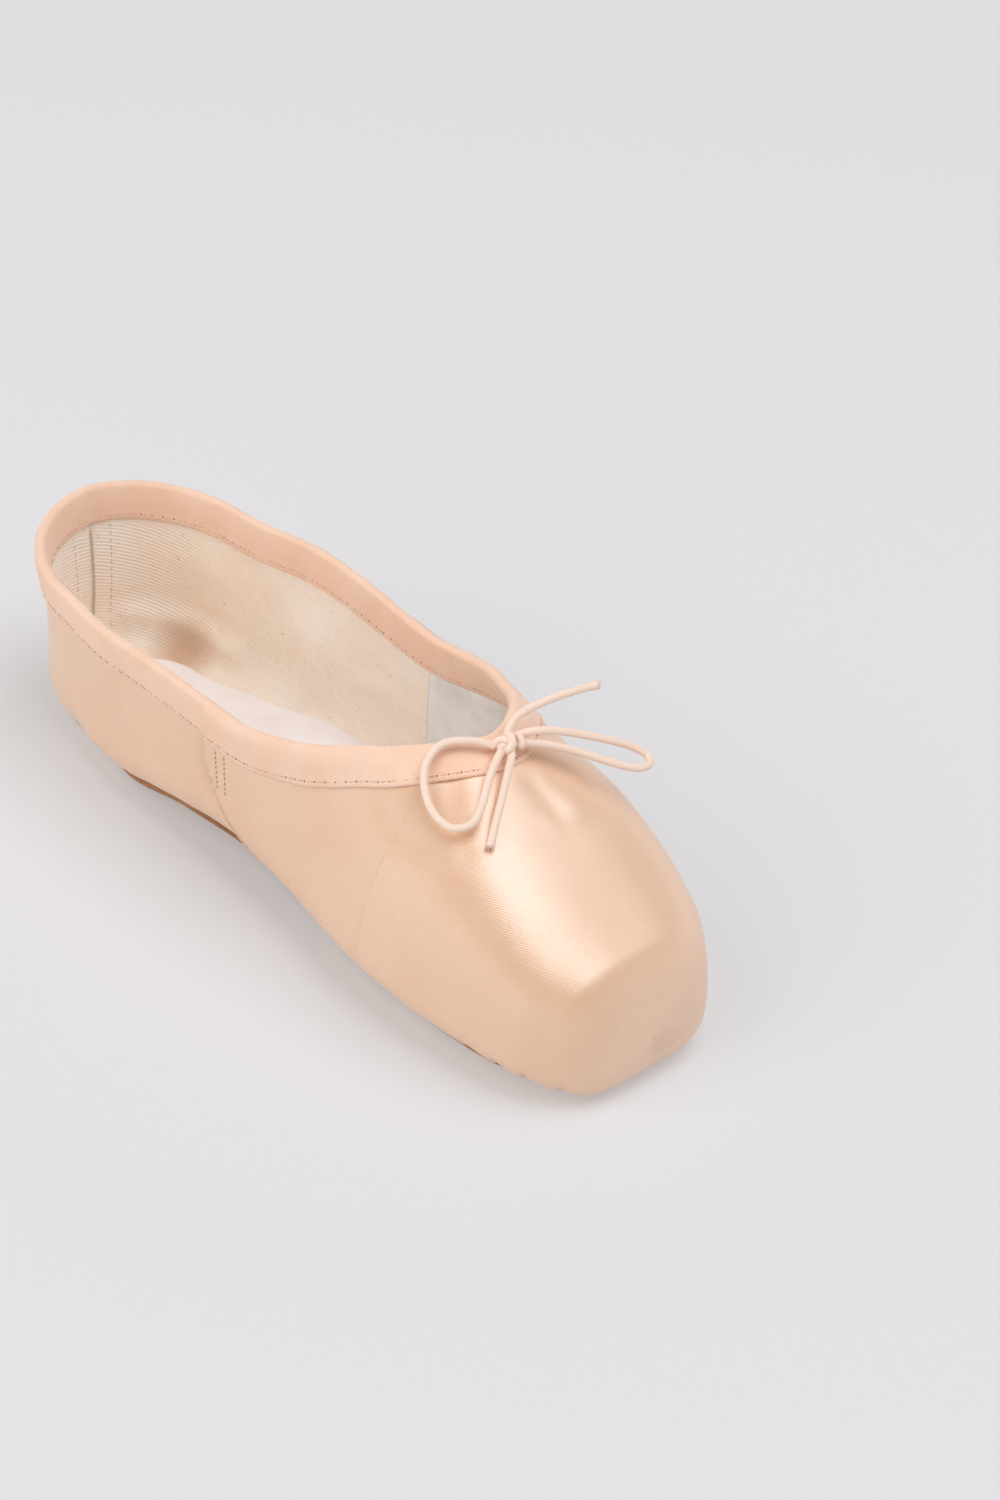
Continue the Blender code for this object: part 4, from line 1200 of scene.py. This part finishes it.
def stitch_grids(places, headings, outs, length, width, height):
    """Spindles on a surface: half sunk, as long as a stitch, and round in section.

    A ring's size is the square root of one less the squared place along, so the ends are round.
    """
    t = np.sin(np.linspace(-np.pi / 2, np.pi / 2, SPINDLE_RINGS))
    size = np.sqrt(np.clip(1 - t ** 2, 0, 1)) ** 0.7
    angle = np.linspace(0, 2 * np.pi, SPINDLE_SIDES + 1)
    sides = np.cross(headings, outs)
    for spot, heading, out, side in zip(places, headings, outs, sides):
        points = (spot + 0.5 * length * t[:, None, None] * heading
                  + size[:, None, None] * (0.5 * width * np.cos(angle)[None, :, None] * side
                                           + height * np.sin(angle)[None, :, None] * out))
        maps = np.stack(np.broadcast_arrays(t[:, None] * length, angle[None, :] * width), axis=-1)
        yield points, maps, True


def along_line(points, outs, pitch, offset=0.5):
    """Even places on a line of surface points: place, heading and outward direction."""
    run = running_length(points)
    at = np.arange(offset * pitch, run[-1], pitch)
    heading = unit(np.gradient(points, axis=0))
    read = [np.stack([np.interp(at, run, part[:, k]) for k in range(3)], axis=1)
            for part in (points, heading, outs)]
    heading = unit(read[1])
    return read[0], heading, unit(read[2] - np.sum(read[2] * heading, axis=1, keepdims=True) * heading)


def thread(name, colour):
    """Spun thread with a sheen of its own."""
    made, tree, main = finish(name, colour, 0.7, Specular_IOR_Level=0.3)
    fluff = speckle(tree, place(tree), 0.0004)
    dark = tuple(0.72 * c for c in colour[:3]) + (1.0,)
    tree.links.new(blend(tree, spread(tree, fluff, 0.4, 0.7), dark, colour), main.inputs["Base Color"])
    relief(tree, main, [(fluff, 0.0001, 0.5)])
    return made


PEACH_THREAD = thread("peach thread", shade(244, 204, 178))
CREAM_THREAD = thread("cream thread", shade(240, 226, 202))
SEAM_THREAD = thread("seam thread", shade(214, 178, 148))
# Painted shade: dark brown for the dimples of the needle holes between the tape's stitches.
NEEDLE_HOLE_SHADE = thread("needle hole shade", shade(150, 100, 78))

# Each stitch: its length, width and height.
TAPE_STITCH = (0.0021, 0.00034, 0.00012)
TAPE_HOLE = (0.00050, 0.00042, 0.00013)
TAPE_SINK = 0.00012


def binding_stitches():
    """One row near the tape's lower edge, outside and inside, on both sides."""
    point, normal, wall, lapped = rim_rows(STITCH_FROM_RIM)
    stand = TAPE_GAP + BINDING_THICKNESS - TAPE_SINK
    faces = ((point + normal * (stand + lapped), normal), (point - normal * (wall + stand), -normal))
    rows, hole_shades = [], []
    for side in (-1, 1):
        flip = np.array([side, 1, 1])
        for line, out in faces:
            rows += stitch_grids(*along_line(line * flip, out * flip, STITCH_PITCH, 0.5), *TAPE_STITCH)
            # Dark spindles between the stitches are painted shade in the needle holes.
            hole_shades += stitch_grids(*along_line(line * flip, out * flip, STITCH_PITCH, 1.0), *TAPE_HOLE)
    sew("binding_stitches", rows, PEACH_THREAD)
    sew("binding_needle_hole_shades", hole_shades, NEEDLE_HOLE_SHADE)


SEAM_ROWS = (0.1010, 0.1046)
SEAM_LEAN = 0.12
SEAM_START, SEAM_END = SIDE_HEIGHT - 0.001, 0.031
SEAM_STITCH, SEAM_PITCH, SEAM_PROUD = (0.0011, 0.00036, 0.00020), 0.0016, 0.00005


def side_seam_stitches():
    """Two rows in front of each lapped edge, from the tape down to where it sweeps forward."""
    rows = []
    heights = np.linspace(SEAM_START, SEAM_END, 60)
    for side in (-1, 1):
        flip = np.array([side, 1, 1])
        for row in SEAM_ROWS:
            along = row + SEAM_LEAN * (SEAM_TURN - heights)
            level = level_at(along, heights - section(along, "lift"))
            point, _, _, normal = surface_frame(along, level)
            point, normal = point * flip, normal * flip
            proud = satin_height(point, along, level)[:, None] + SEAM_PROUD
            rows += stitch_grids(*along_line(point + normal * proud, normal, SEAM_PITCH), *SEAM_STITCH)
    sew("side_seam_stitches", rows, SEAM_THREAD)


BACK_ROW = 0.0065
BACK_POINTS = 50
BACK_FROM_RIM, BACK_FOOT = 0.085, -0.55
BACK_STITCH, BACK_PITCH, BACK_SINK = (0.0015, 0.00034, 0.00018), 0.0024, 0.00002
BACK_EDGE, BACK_EDGE_PROUD = 0.00035, 0.0001


def inner_line(along, level, proud):
    """A line that stands a little proud of the wall's inner face, and the outward direction there."""
    point, _, _, normal = surface_frame(along, level)
    return point - normal * (wall_thickness(along)[:, None] + proud), normal


def back_seam_stitches():
    """Two rows inside, each side of the lining's back seam, and the seam's own raised edge."""
    along = np.full(BACK_POINTS, 2 / np.pi * BACK_ROW)
    level = np.linspace(rim_level(along[0]) - BACK_FROM_RIM, BACK_FOOT, BACK_POINTS)
    line, out = inner_line(along, level, -BACK_SINK)
    rows = []
    for side in (-1, 1):
        flip = np.array([side, 1, 1])
        rows += stitch_grids(*along_line(line * flip, -out * flip, BACK_PITCH), *BACK_STITCH)
    line, _ = inner_line(0 * along, level, BACK_EDGE_PROUD)
    from_end = np.minimum(np.arange(BACK_POINTS), np.arange(BACK_POINTS)[::-1])
    edge = BACK_EDGE * np.clip(from_end, 0.01, 1)
    rows.append(tube_grid(line * (0, 1, 1), edge, 8, np.array([1.0, 0.0, 0.0])))
    sew("back_seam_stitches", rows, CREAM_THREAD)


binding_stitches()
side_seam_stitches()
back_seam_stitches()

# %% [markdown]
# ## The patch inside
#
# A white cotton patch is sewn to the lining below the tape, near the throat, and it is left bare
# here. It could be a decal in the lining's finish, but it has an edge that catches the light, so it
# is a thin sheet of its own that follows the wall.

# %% The bare cotton patch
PATCH_START, PATCH_END = 0.108, 0.150
PATCH_TOP, PATCH_DEPTH = 0.0088, 0.026
PATCH_THICKNESS, PATCH_LIFT = 0.00028, 0.00003
PATCH_ROWS, PATCH_WALK = 30, 12
RIPPLE, RIPPLE_ALONG, RIPPLE_DOWN = 0.00016, 0.0031, 0.0043


def patch_cotton():
    """Bright plain-woven cotton."""
    made, tree, main = finish("patch cotton", shade(244, 242, 238), 0.75, Specular_IOR_Level=0.25)
    weft = ribs(tree, cloth_map(tree), 0.0005, 0.4)
    warp = ribs(tree, cloth_map(tree, np.radians(90)), 0.0005, 0.4)
    cloud = speckle(tree, place(tree), 0.010)
    tone = blend(tree, spread(tree, cloud, 0.35, 0.65), shade(232, 230, 224), shade(248, 246, 244))
    tree.links.new(tone, main.inputs["Base Color"])
    relief(tree, main, [(cloud, 0.0006, 0.25), (times(tree, weft, warp), 0.00008, 0.5)])
    return made


def make_patch():
    """A sheet over the lining: rows step down from the rim, and both faces meet round the edge."""
    chosen = (rim_along > PATCH_START) & (rim_along < PATCH_END)
    downs = PATCH_TOP + PATCH_DEPTH * np.linspace(0, 1, PATCH_ROWS)
    rows = []
    for distance in downs:
        at, level = walk_from_rim(rim_along, rim_level(rim_along), distance, PATCH_WALK)
        point, _, _, normal = surface_frame(at, level)
        lift = lining_height(point, at, level)[:, None]
        rows.append(((point - normal * (wall_thickness(at)[:, None] + lift))[chosen], normal[chosen]))
    base = np.stack([row[0] for row in rows], axis=1)
    normal = np.stack([row[1] for row in rows], axis=1)
    u = rim_run[chosen][:, None]
    maps = np.stack(np.broadcast_arrays(u, downs[None, :]), axis=-1)
    ripple = RIPPLE * (1 + np.sin(u / RIPPLE_ALONG) * np.sin(downs[None, :] / RIPPLE_DOWN))
    face = base - normal * (PATCH_THICKNESS + ripple)[..., None]
    back = base - normal * PATCH_LIFT
    grids = [(face, maps, True), (back, maps, False)]
    borders = ((np.s_[:, 0], True), (np.s_[:, -1], False), (np.s_[0, :], False), (np.s_[-1, :], True))
    for take, turned in borders:
        strip = np.stack([face[take], back[take]], axis=1)
        grids.append((strip, np.stack([maps[take], maps[take]], axis=1), turned))
    sew("bare_patch", grids, patch_cotton())


make_patch()

# %% [markdown]
# ## Floor and light
#
# The shoe stands on a plain pale floor under soft studio light. A large softbox above its toe draws
# the broad band along the vamp, and pale walls light its sides, less so in front of the toe. Between
# them the ceiling is dim, which shows as a darker line along the shoulder. A second softbox lights
# the near side and the lining; it is hidden from the gloss, as satin would show it as a second band.
# The floor glows a little, like a light table, which keeps the shadow on it pale.

# %% Floor, light and surround
FLOOR_SIZE = 8.0
KEY_PLACE, KEY_SIZE, KEY_POWER = (0.46, -0.72, 2.85), 2.5, 59.0
FILL_PLACE, FILL_SIZE, FILL_POWER = (-1.70, 0.45, 1.50), 1.6, 19.5
WALLS, WALL_TOP = 1.06, 0.28
CEILING, CEILING_START = 0.20, 0.50
FRONT, FRONT_START, FRONT_END = 0.60, -0.9, -0.3
FLOOR_GLOW = 0.30


def make_floor():
    """A wide flat sheet under the sole, with a faint tooth."""
    shape = bmesh.new()
    bmesh.ops.create_grid(shape, x_segments=2, y_segments=2, size=FLOOR_SIZE / 2)
    mesh = bpy.data.meshes.new("floor")
    shape.to_mesh(mesh)
    shape.free()
    made, tree, main = finish("floor", shade(183, 182, 183), 0.9, Specular_IOR_Level=0.1,
                              Emission_Color=shade(255, 254, 254), Emission_Strength=FLOOR_GLOW)
    relief(tree, main, [(speckle(tree, place(tree), 0.004), 0.0002, 0.02)])
    mesh.materials.append(made)
    floor = bpy.data.objects.new("floor", mesh)
    bpy.context.scene.collection.objects.link(floor)


def make_softbox(name, where, size, power, colour, seen=True):
    """A square light that faces the shoe; an unseen one lights without a mirrored image."""
    light = bpy.data.lights.new(name, "AREA")
    light.size, light.energy, light.color = size, power, colour
    box = bpy.data.objects.new(name, light)
    box.visible_glossy = seen
    bpy.context.scene.collection.objects.link(box)
    back = unit(np.array(where) - TARGET)
    side = unit(np.cross((0.0, 1.0, 0.2), back))
    turn = Matrix([[*pair] for pair in zip(side, np.cross(back, side), back)])
    box.matrix_world = Matrix.Translation(where) @ turn.to_4x4()


make_floor()
make_softbox("key", KEY_PLACE, KEY_SIZE, KEY_POWER, (0.97, 0.97, 1.0))
make_softbox("fill", FILL_PLACE, FILL_SIZE, FILL_POWER, (1.0, 0.985, 0.97), seen=False)
surround = bpy.data.worlds.new("surround")
surround.use_nodes = True
sky = surround.node_tree
heading = node(sky, "ShaderNodeTexCoord").outputs["Generated"]
parts = node(sky, "ShaderNodeSeparateXYZ", {"Vector": heading}).outputs
sky.nodes["Background"].inputs["Color"].default_value = shade(246, 247, 250)
by_height = spread(sky, parts["Z"], WALL_TOP, CEILING_START, WALLS, CEILING)
by_side = spread(sky, parts["Y"], FRONT_START, FRONT_END, FRONT, 1.0)
sky.links.new(times(sky, by_height, by_side), sky.nodes["Background"].inputs["Strength"])
bpy.context.scene.world = surround
bpy.context.scene.view_settings.view_transform = "Standard"
